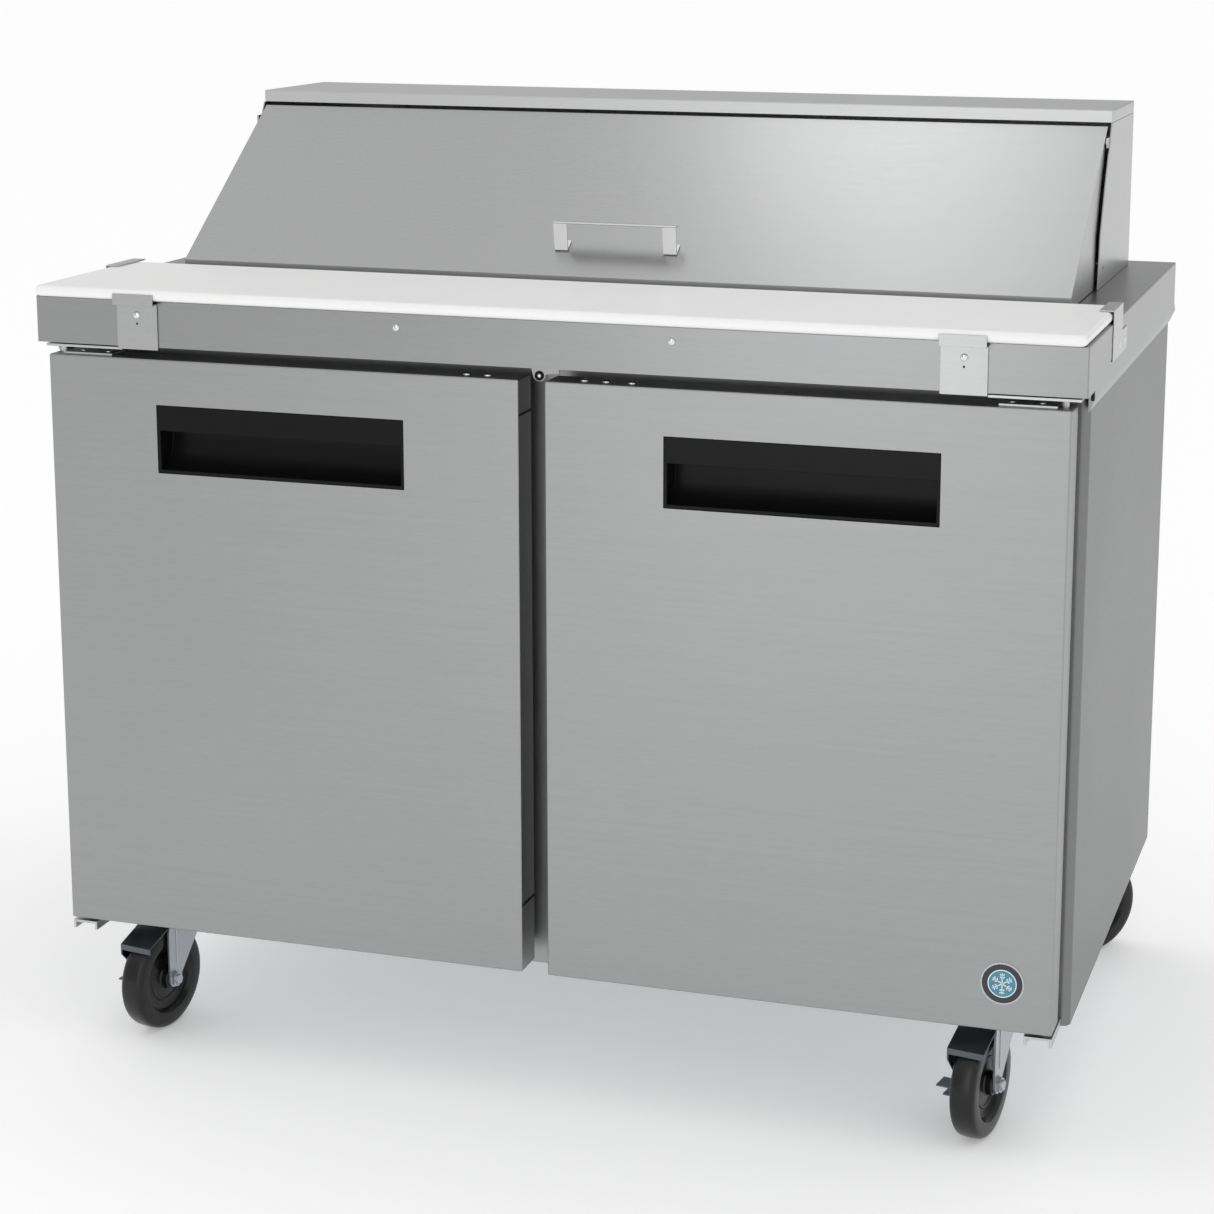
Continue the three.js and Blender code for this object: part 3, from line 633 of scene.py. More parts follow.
class BuildStep(bpy.types.Operator):
    """Shared by every operator that builds a group of pieces."""

    bl_options = {"REGISTER", "UNDO"}

    def execute(self, context):
        self.build(context)
        return {"FINISHED"}


# ------------------------------------------------------------------ worktop, board and their fittings


class PREP_OT_worktop(BuildStep):
    """Pressed worktop with its fascia, drip beads, screws, and painted shade for its side holes and slots"""

    bl_idname = "prep.worktop"
    bl_label = "Worktop"

    def build(self, context):
        size = sizes()

        def outer(edge):
            at = middle(edge)
            rims = (abs(abs(at.x) - HALF_WIDTH) < MM / 10, abs(at.y - WORK_LOW.y) < MM / 10,
                    abs(at.y - WORK_HIGH.y) < MM / 10, abs(at.z - WORK_Z) < MM / 10)
            return sum(rims) >= 2

        shape = soften(from_node("worktop"), size.fold_radius, 3, outer)
        finished("worktop_sheet", shape, worktop_steel("X"), "table", ("worktop",))
        radius = size.screw_radius
        fascia = [pan_head((x, FRONT, WORK_Z - 16.5 * MM), OUT_FRONT, radius) for x in (-0.16, 0.16)]
        finished("fascia_screws", together(fascia), chrome(), "table", even=False)
        # Near-black discs and plates of painted shade stand in for the shade inside the side holes and slots.
        dark = []
        for _, s in SIDES:
            dark.append(turned([(0, 0.15 * MM), (1.4 * MM, 0.15 * MM), (1.4 * MM, 0), (0, 0)],
                               facing((s, 0, 0), (s * HALF_WIDTH, -197 * MM, WORK_Z - 39.8 * MM)), 16))
            x = s * (HALF_WIDTH - 3.4 * MM)
            dark.append(rounded_box(x, x + s * 3.5 * MM, FRONT + 42.6 * MM, FRONT + 44.4 * MM,
                                    WORK_Z - 63.8 * MM, WORK_Z - 53 * MM, 0.5 * MM))
        finished("side_slot_shade", together(dark), shadow_gap(), "table", even=False)


class PREP_OT_board(BuildStep):
    """Cutting board with a rolled rim, and the brackets and clips that hold it"""

    bl_idname = "prep.board"
    bl_label = "Cutting board"

    def build(self, context):
        size = sizes()
        low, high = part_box("cutting_board")
        shape = cuboid(low.x, high.x, low.y, high.y, low.z, high.z)
        soften(shape, size.board_corner, 10, lambda edge: edge.verts[0].co.z * edge.verts[1].co.z > 0
               and abs(edge.verts[0].co.z - edge.verts[1].co.z) > MM)
        soften(shape, size.board_round, 6,
               lambda edge: abs(edge.verts[0].co.z - edge.verts[1].co.z) < MM / 100)
        finished("cutting_board_slab", shape, board_plastic(), "table", ("cutting_board",))
        for side, s in SIDES:
            refined(f"board_bracket_{side}", satin("X"), size.cut_radius)
            self.clip(side, s)
            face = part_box(f"board_bracket_{side}")[0].y + 11.6 * MM - 1.5 * MM
            x = s * 479.4 * MM
            screw = pan_head((x, face, WORK_Z - 17 * MM), OUT_FRONT, size.screw_radius)
            finished(f"bracket_screw_{side}", screw, chrome(), "table", even=False)
            # A near-black disc of painted shade stands in for the shade in the bracket's pressed hollow.
            dimple_shade_disc = turned([(0, 0.12 * MM), (1.3 * MM, 0.12 * MM), (1.3 * MM, 0), (0, 0)],
                            facing(OUT_FRONT, (x, face, WORK_Z - 27 * MM)), 20)
            finished(f"bracket_dimple_shade_{side}", dimple_shade_disc, shadow_gap(), "table", even=False)

    def clip(self, side, s):
        """Thin clip folded over the end of the board and screwed to the worktop's skirt."""
        node = f"board_clip_{side}"
        low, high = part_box(node)
        sheet = 0.8 * MM
        outer = HALF_WIDTH + 1.0 * MM
        inner = min(abs(low.x), abs(high.x))
        top = high.z
        front, back = low.y, high.y
        lip_back = front + 70 * MM
        outline = [(front, low.z), (back, low.z), (back, low.z + 26 * MM), (lip_back, low.z + 26 * MM),
                   (lip_back, top - sheet / 2), (front, top - sheet / 2)]
        side_x = outer - sheet if s > 0 else -outer
        leg = soften(plate(outline, sheet, Matrix.Translation((side_x, 0, 0)) @ SIDEWAYS), 0.2 * MM, 1)
        lip = rounded_box(s * inner, s * (outer - 0.1 * MM), front + 0.1 * MM, lip_back - 0.1 * MM,
                          top - 1.6 * MM, top, 0.4 * MM)
        finished(f"{side}_board_clip", together([leg, lip]), bright("Y"), "table", (node,))
        screws = [pan_head((s * outer, y, WORK_Z - 30 * MM), (s, 0, 0), 3.6 * MM, 0.85 * MM)
                  for y in (-140.4 * MM, -99.2 * MM)]
        finished(f"{side}_clip_screws", together(screws), chrome(), "table", even=False)


# ------------------------------------------------------------------ hood and lid


class PREP_OT_hood(BuildStep):
    """Hood shell and its folded cap"""

    bl_idname = "prep.hood"
    bl_label = "Hood"

    def build(self, context):
        size = sizes()
        refined("hood_shell", satin("X"), size.cut_radius)
        low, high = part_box("hood_cap")

        def rim(edge):
            at = middle(edge)
            sides = (at.x - low.x < MM / 10, high.x - at.x < MM / 10, at.y - low.y < MM / 10,
                     high.y - at.y < MM / 10, high.z - at.z < MM / 10)
            return sum(sides) >= 2

        shape = soften(from_node("hood_cap"), size.fold_radius, 3, rim)
        finished("hood_cap_sheet", shape, bright("X"), "table", ("hood_cap",))
        screws = []
        shell_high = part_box("hood_shell")[1]
        for x in (-0.36, -0.12, 0.12, 0.36):
            screws.append(pan_head((x, shell_high.y, low.z - 14 * MM), OUT_BACK, size.screw_radius))
            screws.append(pan_head((x, shell_high.y, WORK_Z + 14 * MM), OUT_BACK, size.screw_radius))
        finished("hood_screws", together(screws), chrome(), "table", even=False)
        # Near-black discs of painted shade stand in for the shade inside the hood's side hole on each side.
        hole_shades = [turned([(0, 0.15 * MM), (2.2 * MM, 0.15 * MM), (2.2 * MM, 0), (0, 0)],
                        facing((s, 0, 0), (s * shell_high.x, 104.7 * MM, WORK_Z + 23 * MM)), 16)
                 for _, s in SIDES]
        finished("hood_side_hole_shade", together(hole_shades), shadow_gap(), "table", even=False)


class PREP_OT_lid(BuildStep):
    """Sloped lid with its insulated inner face and polished strap handle"""

    bl_idname = "prep.lid"
    bl_label = "Lid"

    def build(self, context):
        refined("lid", satin("X"), 0.5 * MM)
        refined("lid_insulation", liner_plastic(), 3 * MM, 3)
        self.handle()

    def handle(self):
        """Flat polished grip folded back from two upright straps with small feet."""
        rise, run = math.sin(LID_SLOPE), math.cos(LID_SLOPE)

        def on_lid(up, out):
            """Y and Z of a point so many millimetres up the slope and out from it."""
            return LID_FRONT + (up * run - out * rise) * MM, LID_FOOT + (up * rise + out * run) * MM

        parts = [rounded_box(-77 * MM, 77 * MM, -74.1 * MM, -60.6 * MM, 986.4 * MM, 988.9 * MM, 1.1 * MM, 3)]
        upright = [(-69.6 * MM, 954.2 * MM), (-67.1 * MM, 954.2 * MM),
                   (-71.2 * MM, 987 * MM), (-73.7 * MM, 987 * MM)]
        foot = [on_lid(43, 0.4), on_lid(60, 0.4), on_lid(60, 2.6), on_lid(43, 2.6)]
        for x in (-76.6 * MM, 59.6 * MM):
            at = Matrix.Translation((x, 0, 0)) @ SIDEWAYS
            parts.append(soften(plate(upright, 17 * MM, at), 0.6 * MM))
            parts.append(soften(plate(foot, 17 * MM, at), 0.6 * MM))
        finished("lid_grab_handle", together(parts), chrome(), "lid", ("lid_handle",))
        y, z = on_lid(54, 2.6)
        away = (0, -rise, run)
        screws = [pan_head((x, y, z), away, 3.4 * MM, 1.8 * MM) for x in (-68 * MM, 68 * MM)]
        finished("handle_screws", together(screws), zinc(), "lid", even=False)


# ------------------------------------------------------------------ cabinet


class PREP_OT_cabinet(BuildStep):
    """Side panels, face frame, hinges, back, base and louvred machine cover"""

    bl_idname = "prep.cabinet"
    bl_label = "Cabinet"

    def build(self, context):
        size = sizes()
        for side, _ in SIDES:
            refined(f"side_panel_{side}", side_steel("Y"), size.cut_radius)
            refined(f"{side}_top_hinge", bright("X"), size.cut_radius)
            refined(f"{side}_bottom_hinge", bright("X"), size.cut_radius)
        refined("face_frame", steel("Z"), size.fold_radius)
        refined("inner_liner", liner_plastic(), size.cut_radius)
        refined("insulation", foam(), 2 * MM)
        refined("back_panel", galvanised(), size.cut_radius)
        refined("base_panel", galvanised(), size.cut_radius)
        self.machine_cover(size)
        self.back_screws(size)
        self.centre_bracket()

    def machine_cover(self, size):
        refined("machine_cover", galvanised(), size.cut_radius)
        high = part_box("machine_cover")[1]
        blade, sheet = 9.5 * MM, 1.0 * MM
        quarter = arc((0, 0), blade, 90, 0) + arc((0, 0), blade - sheet, 0, 90)
        web = [(0, 0)] + arc((0, 0), blade - sheet / 2, 0, 90)
        louvres = []
        for row in range(LOUVRE_ROWS):
            z = 190 * MM + row * LOUVRE_PITCH
            for x in (-270 * MM, 270 * MM):
                at = Matrix.Translation((x - 202 * MM, high.y, z))
                louvres.append(plate(quarter, 404 * MM, at @ SIDEWAYS))
                for end in (0, 403 * MM):
                    louvres.append(plate(web, sheet, Matrix.Translation((end, 0, 0)) @ at @ SIDEWAYS))
        finished("machine_louvres", together(louvres), galvanised(), NODES["machine_cover"]["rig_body"],
                 even=False)

    def back_screws(self, size):
        low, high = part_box("machine_cover")
        screws = [pan_head((x, high.y, z), OUT_BACK, size.screw_radius)
                  for x in (-0.555, -0.185, 0.185, 0.555) for z in (low.z + 10 * MM, high.z - 10 * MM)]
        low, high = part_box("back_panel")
        screws += [pan_head((x, high.y, z), OUT_BACK, 4 * MM, 1.8 * MM)
                   for x in (-0.555, -0.185, 0.185, 0.555) for z in (low.z + 14 * MM, high.z - 75 * MM)]
        screws += [pan_head((x, high.y, (low.z + high.z) / 2), OUT_BACK, 4 * MM, 1.8 * MM)
                   for x in (-0.555, 0.555)]
        finished("back_screws", together(screws), zinc(), "table", even=False)
        seams = [rounded_box(x - 11 * MM, x + 11 * MM, high.y - 0.5 * MM, high.y + 0.6 * MM,
                             low.z + 30 * MM, high.z - 100 * MM, 0.4 * MM) for x in (-0.28, 0.28)]
        finished("back_ribs", together(seams), galvanised(), "table", even=False)

    def centre_bracket(self):
        lobe = (5 * MM, FASCIA_LOW - 8 * MM)
        top = FASCIA_LOW - 0.6 * MM
        outline = [(28 * MM, FASCIA_LOW - 7 * MM), (28 * MM, top), (-5 * MM, top)]
        outline += arc(lobe, 8 * MM, 180, 360, 14)
        at = Matrix.Translation((0, FRONT + 11.5 * MM, 0))
        tab = soften(plate(outline, 1.5 * MM, at @ FRONTWAYS), 0.3 * MM, 1)
        finished("centre_bracket", tab, steel("X"), "table", crease=30)
        eye = (lobe[0], FRONT + 10 * MM, FASCIA_LOW - 9.5 * MM)
        ring = turned([(2.6 * MM, 0), (5.4 * MM, 0), (5.4 * MM, 1.2 * MM), (4.6 * MM, 1.8 * MM),
                       (3.2 * MM, 1.6 * MM), (2.6 * MM, 0.8 * MM)], facing(OUT_FRONT, eye), 28, True)
        finished("centre_bracket_eyelet", ring, black_plastic(), "table", even=False)
        stud = pan_head(eye, OUT_FRONT, 2.4 * MM, 1.6 * MM)
        finished("centre_bracket_rivet", stud, chrome(), "table", even=False)


# ------------------------------------------------------------------ doors


class PREP_OT_doors(BuildStep):
    """Both doors: skins, liners, gaskets, pulls, screws and trim"""

    bl_idname = "prep.doors"
    bl_label = "Doors"

    def build(self, context):
        for side, s in SIDES:
            self.skin(side)
            self.seal(side)
            self.fittings(side, s)
        self.gap_strips()
        self.badge()

    def skin(self, side):
        size = sizes()
        node = f"{side}_door_skin"
        low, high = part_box(node)

        def rim(edge):
            at = middle(edge)
            faces = (at.x - low.x < MM / 10, high.x - at.x < MM / 10, at.y - low.y < MM / 10,
                     at.z - low.z < MM / 10, high.z - at.z < MM / 10)
            return sum(faces) >= 2

        shape = soften(from_node(node), size.door_radius, 4, rim)
        finished(f"{side}_door_sheet", shape, steel("X"), f"{side}_door", (node,))
        refined(f"{side}_door_liner", liner_plastic(), 1.2 * MM, 3)
        refined(f"{side}_door_pull", black_plastic(), 0.8 * MM, 3)

    def seal(self, side):
        node = f"{side}_door_gasket"
        low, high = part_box(node)
        rings = []
        for inset, width, depth in ((0, 16, 7.4), (1, 4, 12.6), (6.2, 3.6, 13.2), (11, 4, 12.6)):
            ring = window_frame(low.x + inset * MM, high.x - inset * MM, low.z + inset * MM,
                                high.z - inset * MM, width * MM, low.y, low.y + depth * MM)
            rings.append(soften(ring, 1.1 * MM, 3, lambda edge: middle(edge).y > low.y + 5 * MM
                                and edge.calc_length() > 0.1))
        finished(f"{side}_door_seal", together(rings), gasket_rubber(), f"{side}_door", (node,))

    def fittings(self, side, s):
        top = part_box(f"{side}_door_skin")[1].z
        body = f"{side}_door"
        strap = rounded_box(s * 516 * MM, s * 578 * MM, FRONT + 3 * MM, FRONT + 34 * MM,
                            top + 0.05 * MM, top + 2.6 * MM, 0.4 * MM)
        finished(f"{side}_door_strap", strap, bright("X"), body)
        places = (81.6, 56.7) if s < 0 else (56.4, 81.6, 111.2)
        screws = [pan_head((s * x * MM, FRONT + 14 * MM, top), UP, 5 * MM, 3 * MM) for x in places]
        finished(f"{side}_door_top_screws", together(screws), chrome(), body, even=False)
        spring = [pan_head((s * x * MM, FRONT + 18 * MM, top + 2.6 * MM), UP, 3.6 * MM, 1.8 * MM)
                  for x in (528, 560)]
        finished(f"{side}_strap_screws", together(spring), chrome(), body, even=False)
        liner_low, liner_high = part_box(f"{side}_door_liner")
        panel = window_frame(liner_low.x + 60 * MM, liner_high.x - 60 * MM, liner_low.z + 60 * MM,
                             liner_high.z - 60 * MM, 26 * MM, liner_high.y - 1 * MM, liner_high.y + 3 * MM)
        soften(panel, 1.4 * MM, 3, lambda edge: middle(edge).y > liner_high.y)
        finished(f"{side}_liner_border", panel, liner_plastic(), body)

    def gap_strips(self):
        """Two thin dark strips of painted shade, for gaps across the free edge of the left door."""
        low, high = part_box("left_door_skin")
        strips = [rounded_box(high.x - 0.3 * MM, high.x + 0.9 * MM, low.y + 0.6 * MM, high.y - 0.5 * MM,
                              z - 1.2 * MM, z + 1.2 * MM, 0.3 * MM) for z in EDGE_STRIP_HEIGHTS]
        finished("door_edge_shade_strips", together(strips), shadow_gap(), "left_door", even=False)

    def badge(self):
        radius = sizes().badge_radius
        at = Vector((538.8 * MM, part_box("right_door_skin")[0].y, 213.4 * MM))
        place = facing(OUT_FRONT, at)
        rim = turned([(radius * 0.93, 0), (radius, 0), (radius, 0.9 * MM), (radius * 0.97, 1.25 * MM),
                      (radius * 0.93, 1.1 * MM)], place, 64, True)
        ring = turned([(radius * 0.66, 0), (radius * 0.94, 0), (radius * 0.94, 0.95 * MM),
                       (radius * 0.66, 0.95 * MM)], place, 64, True)
        field = turned([(0, 1.05 * MM), (radius * 0.62, 0.9 * MM), (radius * 0.62, 0), (0, 0)], place, 64)
        line = turned([(radius * 0.62, 0), (radius * 0.665, 0), (radius * 0.665, 1.1 * MM),
                       (radius * 0.62, 1.1 * MM)], place, 64, True)
        parts = (("badge_rim", rim, "rim"), ("badge_ring", ring, "ring"), ("badge_field", field, "field"),
                 ("badge_line", line, "white"), ("badge_snowflake", self.snowflake(radius, place), "white"))
        for name, shape, part in parts:
            finished(name, shape, enamel(part), "right_door", even=False)

    def snowflake(self, radius, place):
        """Six plain arms, each with two pairs of twigs."""
        width, lift = radius * 0.045, 1.25 * MM
        arms = []
        for turn in range(6):
            spin = Matrix.Rotation(math.radians(60 * turn + 30), 4, "Z")
            sticks = [((0, 0), (radius * 0.5, 0))]
            for along in (0.24, 0.37):
                for side in (-1, 1):
                    tip = (radius * (along + 0.09), side * radius * 0.11)
                    sticks.append(((radius * along, 0), tip))
            for (x0, y0), (x1, y1) in sticks:
                angle = math.atan2(y1 - y0, x1 - x0)
                span = math.hypot(x1 - x0, y1 - y0)
                stick = cuboid(0, span, -width / 2, width / 2, 0.6 * MM, lift)
                turn_to = Matrix.Translation((x0, y0, 0)) @ Matrix.Rotation(angle, 4, "Z")
                bmesh.ops.transform(stick, matrix=place @ spin @ turn_to, verts=stick.verts)
                arms.append(stick)
        return together(arms)


# ------------------------------------------------------------------ casters


def caster_frame(label):
    """Local X along the wheel's axle, Z up, with the origin on the floor under the swivel."""
    across = Vector(JOINTS[f"{label}_wheel_roll"]["axis"])
    centre = Vector(JOINTS[f"{label}_swivel"]["pos_m"])
    behind = Vector(UP).cross(across)
    turn = Matrix((across, behind, Vector(UP))).transposed().to_4x4()
    return Matrix.Translation((centre.x, centre.y, 0)) @ turn


WHEEL_PROFILE = (
    (6.4, 17.4), (12, 17.4), (13, 16.6), (13.6, 10.2), (15, 8.6), (26, 7.2), (27, 8.2), (29, 8.2),
    (30, 7), (37.5, 6.4), (40, 7.2), (42.6, 12.6), (44.6, 14.8), (47, 15), (56, 15), (59.5, 14.2),
    (61.8, 12.4), (62.8, 10), (63.35, 5), (63.5, 0),
)


class PREP_OT_casters(BuildStep):
    """Wheels, forks, brake levers and top plates of the four swivel casters"""

    bl_idname = "prep.casters"
    bl_label = "Casters"

    def build(self, context):
        for end in ENDS:
            for side, _ in SIDES:
                label = f"{end}_{side}"
                self.wheel(label)
                self.fork(label)
                self.top_plate(label)
                if end == "front":
                    self.brake(label)

    def wheel(self, label):
        joint = JOINTS[f"{label}_wheel_roll"]
        near = [(r * MM, h * MM) for r, h in WHEEL_PROFILE]
        far = [(r, -h) for r, h in reversed(near[:-1])]
        shape = turned(near + far, facing(joint["axis"], joint["pos_m"]), 72, True)
        node = f"{label}_wheel"
        finished(f"{label}_tyre", shape, wheel_rubber(), node, (node,), crease=32, even=False)

    def fork(self, label):
        node = f"{label}_caster_fork"
        body = NODES[node]["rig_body"]
        refined(node, zinc(), 0.5 * MM)
        frame_here = caster_frame(label)
        axle = JOINTS[f"{label}_wheel_roll"]["pos_m"][2]
        ribs = []
        for s in (-1, 1):
            x = s * 20.5 * MM
            rib = rounded_box(x - s * 0.3 * MM, x + s * 1.4 * MM, -34 * MM, -29 * MM, axle + 17 * MM,
                              axle + 66 * MM, 0.7 * MM, 3)
            bmesh.ops.transform(rib, matrix=frame_here, verts=rib.verts)
            if s > 0 or label.startswith("rear"):
                ribs.append(rib)
        bolt = hex_head((0, 0, 0), (1, 0, 0), 6.6 * MM, 3 * MM)
        bmesh.ops.translate(bolt, vec=(25.4 * MM, -38 * MM, axle), verts=bolt.verts)
        bmesh.ops.transform(bolt, matrix=frame_here, verts=bolt.verts)
        washer = turned([(4 * MM, 0), (10.5 * MM, 0), (10.5 * MM, 1 * MM), (4 * MM, 1 * MM)],
                        frame_here @ facing((1, 0, 0), (20.5 * MM, -38 * MM, axle)), 28, True)
        finished(f"{label}_fork_fittings", together(ribs + [bolt, washer]), zinc(), body)

    def top_plate(self, label):
        node = f"{label}_caster_plate"
        refined(node, zinc(), 0.6 * MM)
        centre = JOINTS[f"{label}_swivel"]["pos_m"]
        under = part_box(node)[1].z - 4 * MM
        bolts = [hex_head((centre[0] + x, centre[1] + y, under), DOWN, 6.5 * MM, 4 * MM)
                 for x in (-36 * MM, 36 * MM) for y in (-36 * MM, 36 * MM)]
        finished(f"{label}_plate_bolts", together(bolts), zinc(), "table")

    def brake(self, label):
        node = f"{label}_brake"
        refined(node, dark_zinc(), 0.5 * MM, 2)


# ------------------------------------------------------------------ food pans and shelves


class PREP_OT_pans(BuildStep):
    """Drawn food pans hanging in their rack"""

    bl_idname = "prep.pans"
    bl_label = "Food pans"

    def build(self, context):
        recoat("pan_rack", galvanised())
        for column in range(1, 7):
            node = f"food_pans_{column}"
            low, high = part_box(node)
            for row, place in enumerate(("front", "back")):
                y = low.y + (high.y - low.y) * (0.25 + 0.5 * row)
                pan = self.pan((low.x + high.x) / 2, y, high.z, (high.x - low.x) / 2,
                               (high.y - low.y) / 4 - 0.3 * MM, low.z)
                wall = sizes().pan_wall
                name = f"food_pan_{column}_{place}"
                replaced = (node,) if row == 0 else ()
                piece = finished(name, pan, pan_steel(), "table", replaced, even=False)
                skin = piece.modifiers.new("wall", "SOLIDIFY")
                skin.thickness = wall
                skin.offset = -1

    def pan(self, x, y, top, half_x, half_y, bottom):
        shape = bmesh.new()
        corner = sizes().pan_corner
        well_x, well_y = half_x - 12.5 * MM, half_y - 12.5 * MM
        rings = (
            (half_x - 0.3 * MM, half_y - 0.3 * MM, 7 * MM, top - 2.6 * MM),
            (half_x - 0.3 * MM, half_y - 0.3 * MM, 7 * MM, top - 0.8 * MM),
            (half_x - 1.1 * MM, half_y - 1.1 * MM, 6.5 * MM, top),
            (well_x + 2.4 * MM, well_y + 2.4 * MM, corner + 2 * MM, top),
            (well_x + 0.6 * MM, well_y + 0.6 * MM, corner, top - 1.2 * MM),
            (well_x, well_y, corner, top - 3.5 * MM),
            (well_x - 3 * MM, well_y - 3 * MM, corner, bottom + 9 * MM),
            (well_x - 5.2 * MM, well_y - 5.2 * MM, corner, bottom + 3 * MM),
            (well_x - 10 * MM, well_y - 10 * MM, corner, bottom + 1.2 * MM),
        )
        points, edges = [], []
        for wide, deep, radius, z in rings:
            outline = []
            for cx, cy, start in ((1, 1, 0), (-1, 1, 90), (-1, -1, 180), (1, -1, 270)):
                centre = (x + cx * (wide - radius), y + cy * (deep - radius))
                outline += arc(centre, radius, start, start + 90, 6)
            if points:
                made = bmesh.ops.extrude_edge_only(shape, edges=edges)["geom"]
                fresh = {tuple(item.co): item for item in made if isinstance(item, bmesh.types.BMVert)}
                points = [fresh[tuple(point.co)] for point in points]
            else:
                points = [shape.verts.new((px, py, z)) for px, py in outline]
                for pair in zip(points, points[1:] + points[:1]):
                    shape.edges.new(pair)
            for point, (px, py) in zip(points, outline):
                point.co = (px, py, z)
            edges = [shape.edges.get(pair) for pair in zip(points, points[1:] + points[:1])]
        floor = shape.faces.new(points)
        bmesh.ops.recalc_face_normals(shape, faces=shape.faces)
        shape.normal_update()
        if floor.normal.z < 0:
            bmesh.ops.reverse_faces(shape, faces=shape.faces)
        return shape


class PREP_OT_shelves(BuildStep):
    """Coated wire shelves on their pilasters"""

    bl_idname = "prep.shelves"
    bl_label = "Shelves"

    def build(self, context):
        wire = sizes().wire_radius
        for side, _ in SIDES:
            node = f"shelf_{side}"
            low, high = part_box(node)
            z = (low.z + high.z) / 2
            edge = 2.5 * MM
            x0, x1, y0, y1 = low.x + edge, high.x - edge, low.y + edge, high.y - edge
            rods = [rod((x0, y, z), (x1, y, z), edge) for y in (y0, y1, (y0 + y1) / 2)]
            rods += [rod((x, y0, z), (x, y1, z), edge) for x in (x0, x1)]
            rods += [turned([(0, -edge), *arc((0, 0), edge, -75, 75, 6), (0, edge)],
                            Matrix.Translation((x, y, z)), 12) for x in (x0, x1) for y in (y0, y1)]
            for i in range(1, SHELF_GAPS):
                x = x0 + (x1 - x0) * i / SHELF_GAPS
                rods.append(rod((x, y0, z + 0.8 * MM), (x, y1, z + 0.8 * MM), wire, 8))
            finished(f"{side}_wire_shelf", together(rods), wire_coat(), "table", (node,), even=False)
        liner_low, liner_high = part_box("inner_liner")
        posts = []
        for x in (liner_low.x + 1.6 * MM, liner_high.x - 3.4 * MM):
            for y in (liner_low.y + 40 * MM, liner_low.y + 330 * MM):
                posts.append(rounded_box(x, x + 1.8 * MM, y, y + 16 * MM, 240 * MM, 800 * MM, 0.5 * MM))
        finished("shelf_pilasters", together(posts), bright("Z"), "table")


# ------------------------------------------------------------------ cold unit


class PREP_OT_cold_unit(BuildStep):
    """Evaporator, condenser, fans, compressor and cord gland"""

    bl_idname = "prep.cold_unit"
    bl_label = "Cold unit"

    def build(self, context):
        for name in ("evaporator", "condenser"):
            refined(name, fin_metal(), 0.6 * MM)
            refined(f"{name}_fan", black_plastic(), 0.5 * MM)
            self.guard(name)
        self.compressor()
        self.gland()

    def guard(self, name):
        """Wire rings and spokes in front of a fan."""
        joint = JOINTS[f"{name}_fan_spin"]
        low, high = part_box(f"{name}_fan")
        reach = (high.z - low.z) / 2
        x, _, z = joint["pos_m"]
        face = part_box(name)[0].y - 2 * MM
        wires = []
        for share in (0.35, 0.6, 0.85, 1.08):
            radius = reach * share
            section = [(radius + 1.1 * MM * math.cos(a), 1.1 * MM * math.sin(a))
                       for a in (math.pi / 3 * i for i in range(6))]
            wires.append(turned(section, facing(OUT_FRONT, (x, face, z)), 40, True))
        for i in range(6):
            a = math.pi / 3 * i
            inner, outer = reach * 0.35, reach * 1.12
            wires.append(rod((x + inner * math.cos(a), face, z + inner * math.sin(a)),
                             (x + outer * math.cos(a), face, z + outer * math.sin(a)), 1.1 * MM, 8))
        finished(f"{name}_fan_guard", together(wires), zinc(), "table", even=False)

    def compressor(self):
        low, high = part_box("compressor")
        x, y = (low.x + high.x) / 2, (low.y + high.y) / 2
        base = low.z
        profile = [(0, 165), (20, 164), (44, 159), (66, 148), (80, 132), (86, 114), (87, 98), (91, 96),
                   (91, 90), (87, 88), (87, 30), (82, 16), (70, 9), (0, 8)]
        pot = turned([(r * MM, h * MM) for r, h in profile], Matrix.Translation((x, y, base)), 56)
        foot = rounded_box(x - 74 * MM, x + 74 * MM, y - 60 * MM, y + 60 * MM, base, base + 4 * MM, 1.5 * MM)
        finished("compressor_pot", together([pot, foot]), black_paint(), "table",
                 ("compressor",), even=False)
        pipes = []
        for inner, outer, across, height, radius in ((86, 104, 0, 70, 4), (84, 103, 20, 100, 5)):
            level = base + height * MM
            start = (x + inner * MM, y + across * MM, level)
            end = (x + outer * MM, y + across * MM, level)
            pipes.append(rod(start, end, radius * MM, 16))
        finished("compressor_pipes", together(pipes), copper(), "table", even=False)

    def gland(self):
        low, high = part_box("cord_gland")
        x, z = (low.x + high.x) / 2, (low.z + high.z) / 2
        profile = [(4.5, 0), (13.6, 0), (13.6, 2.2), (12.6, 3), (10, 3.2), (9, 4), (9, 8), (8.2, 8.4),
                   (8.2, 9.4), (9, 9.8), (9, 12), (7.6, 14.8), (4.5, 15)]
        shape = turned([(r * MM, h * MM) for r, h in profile], facing(OUT_BACK, (x, low.y, z)), 32, True)
        finished("cord_gland_bush", shape, black_plastic(), "table", ("cord_gland",), even=False)


# ------------------------------------------------------------------ stage


CAMERA_AT = (1.0103, -3.1268, 1.3494)
CAMERA_YAW = 17.184
CAMERA_PITCH = -11.386
CAMERA_ROLL = 0.193


def softbox(name, at, target, wide, high, brightness):
    light = bpy.data.lights.new(name, "AREA")
    light.shape = "RECTANGLE"
    light.size, light.size_y = wide, high
    light.energy = brightness * math.pi * wide * high
    lamp = bpy.data.objects.new(name, light)
    lamp.location = at
    aim = Vector(target) - Vector(at)
    lamp.rotation_euler = aim.to_track_quat("-Z", "Y").to_euler()
    lamp.visible_camera = False
    bpy.context.scene.collection.objects.link(lamp)
    return lamp


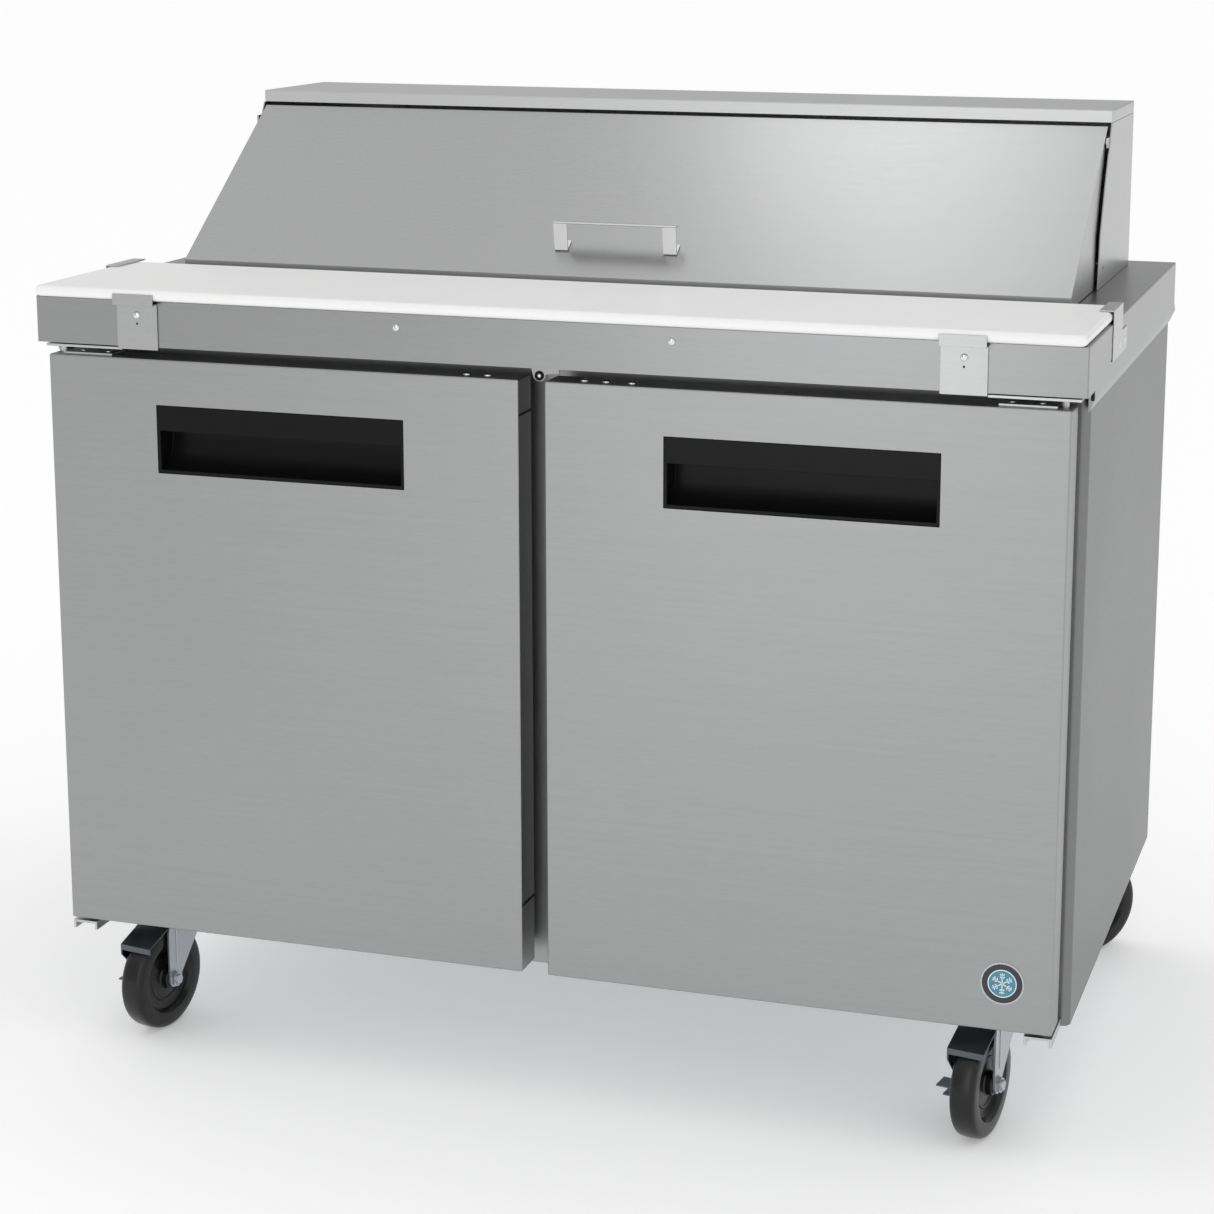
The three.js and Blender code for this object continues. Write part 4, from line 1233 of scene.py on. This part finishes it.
class PREP_OT_stage(BuildStep):
    """Pale floor, soft light and the camera"""

    bl_idname = "prep.stage"
    bl_label = "Stage"

    def build(self, context):
        look = context.scene.prep_table_stage
        context.scene.view_settings.view_transform = "Standard"
        ground = bmesh.new()
        bmesh.ops.create_grid(ground, x_segments=1, y_segments=1, size=60)
        bmesh.ops.translate(ground, vec=(0, 0, -0.3 * MM), verts=ground.verts)
        mesh = bpy.data.meshes.new("floor")
        ground.to_mesh(mesh)
        ground.free()
        floor = bpy.data.objects.new("floor", mesh)
        context.scene.collection.objects.link(floor)
        paint = Finish("floor_paint")
        mesh.materials.append(paint.set(Base_Color=tuple(look.floor), Roughness=0.9, Specular_IOR_Level=0.1,
                                        Emission_Color=(1, 1, 1, 1), Emission_Strength=0.22))
        self.sky(context, look)
        softbox("overhead", (-0.2, 0.7, 3.4), (0.3, 0, 1), 0.7, 0.7, look.overhead)
        softbox("front_strip", (-0.2, -2.9, 1.2), (0.3, -0.36, 0.6), 0.9, 2.4, look.strip)
        self.camera(context)

    def sky(self, context, look):
        """Even white light, plain white behind the table and a little dimmer where it is out of sight."""
        world = bpy.data.worlds.new("studio")
        world.use_nodes = True
        tree = world.node_tree
        tree.nodes.clear()

        def add(kind, operation=None, **values):
            node = tree.nodes.new(kind)
            if operation:
                node.operation = operation
            for key, value in values.items():
                node.inputs[key.replace("_", " ")].default_value = value
            return node

        output = add("ShaderNodeOutputWorld")
        background = add("ShaderNodeBackground", Color=(1, 1, 1, 1))
        where = add("ShaderNodeTexCoord")
        apart = add("ShaderNodeSeparateXYZ")
        ray = add("ShaderNodeLightPath")
        seen = add("ShaderNodeMix", B=1.0)
        behind = add("ShaderNodeMapRange", From_Min=0.35, From_Max=0.95, To_Min=look.sky, To_Max=look.sky * 0.6)
        front_left = add("ShaderNodeMapRange", From_Min=0.2, From_Max=0.42, To_Min=1.0, To_Max=0.6)
        corner = add("ShaderNodeMath", "MULTIPLY")
        both = add("ShaderNodeMath", "MULTIPLY")
        for source, target in (
            (where.outputs["Generated"], apart.inputs["Vector"]),
            (apart.outputs["X"], corner.inputs[0]), (apart.outputs["Y"], corner.inputs[1]),
            (apart.outputs["Y"], behind.inputs["Value"]), (corner.outputs[0], front_left.inputs["Value"]),
            (behind.outputs["Result"], both.inputs[0]), (front_left.outputs["Result"], both.inputs[1]),
            (ray.outputs["Is Camera Ray"], seen.inputs["Factor"]), (both.outputs[0], seen.inputs["A"]),
            (seen.outputs["Result"], background.inputs["Strength"]),
            (background.outputs["Background"], output.inputs["Surface"]),
        ):
            tree.links.new(source, target)
        context.scene.world = world

    def camera(self, context):
        data = bpy.data.cameras.new("camera")
        data.lens = 80.65
        data.sensor_width = 36
        data.shift_x = -0.049
        data.shift_y = -0.12
        data.clip_end = 200
        camera = bpy.data.objects.new("camera", data)
        yaw = Matrix.Rotation(math.radians(CAMERA_YAW), 4, "Z")
        tilt = Matrix.Rotation(math.radians(90 + CAMERA_PITCH), 4, "X")
        roll = Matrix.Rotation(math.radians(CAMERA_ROLL), 4, "Z")
        camera.matrix_world = Matrix.Translation(CAMERA_AT) @ yaw @ tilt @ roll
        context.scene.collection.objects.link(camera)
        context.scene.camera = camera


# ------------------------------------------------------------------ panel and registration


STEPS = (PREP_OT_worktop, PREP_OT_board, PREP_OT_hood, PREP_OT_lid, PREP_OT_cabinet, PREP_OT_doors,
         PREP_OT_casters, PREP_OT_pans, PREP_OT_shelves, PREP_OT_cold_unit, PREP_OT_stage)


class PREP_PT_panel(bpy.types.Panel):
    """Lists the build steps and their settings"""

    bl_idname = "PREP_PT_panel"
    bl_label = "Prep Table"
    bl_space_type = "VIEW_3D"
    bl_region_type = "UI"
    bl_category = "Prep Table"

    def draw(self, context):
        for step in STEPS:
            self.layout.operator(step.bl_idname)
        for group in (context.scene.prep_table_sizes, context.scene.prep_table_colours,
                      context.scene.prep_table_stage):
            box = self.layout.box()
            for name in group.__annotations__:
                box.prop(group, name)


GROUPS = (("prep_table_sizes", PrepTableSizes), ("prep_table_colours", PrepTableColours),
          ("prep_table_stage", PrepTableStage))


def register():
    for name, group in GROUPS:
        bpy.utils.register_class(group)
        setattr(bpy.types.Scene, name, PointerProperty(type=group))
    for made in (*STEPS, PREP_PT_panel):
        bpy.utils.register_class(made)


def unregister():
    for made in reversed((*STEPS, PREP_PT_panel)):
        bpy.utils.unregister_class(made)
    for name, group in reversed(GROUPS):
        delattr(bpy.types.Scene, name)
        bpy.utils.unregister_class(group)


def main():
    register()
    for step in STEPS:
        group, action = step.bl_idname.split(".")
        getattr(getattr(bpy.ops, group), action)()


if __name__ == "__main__":
    main()
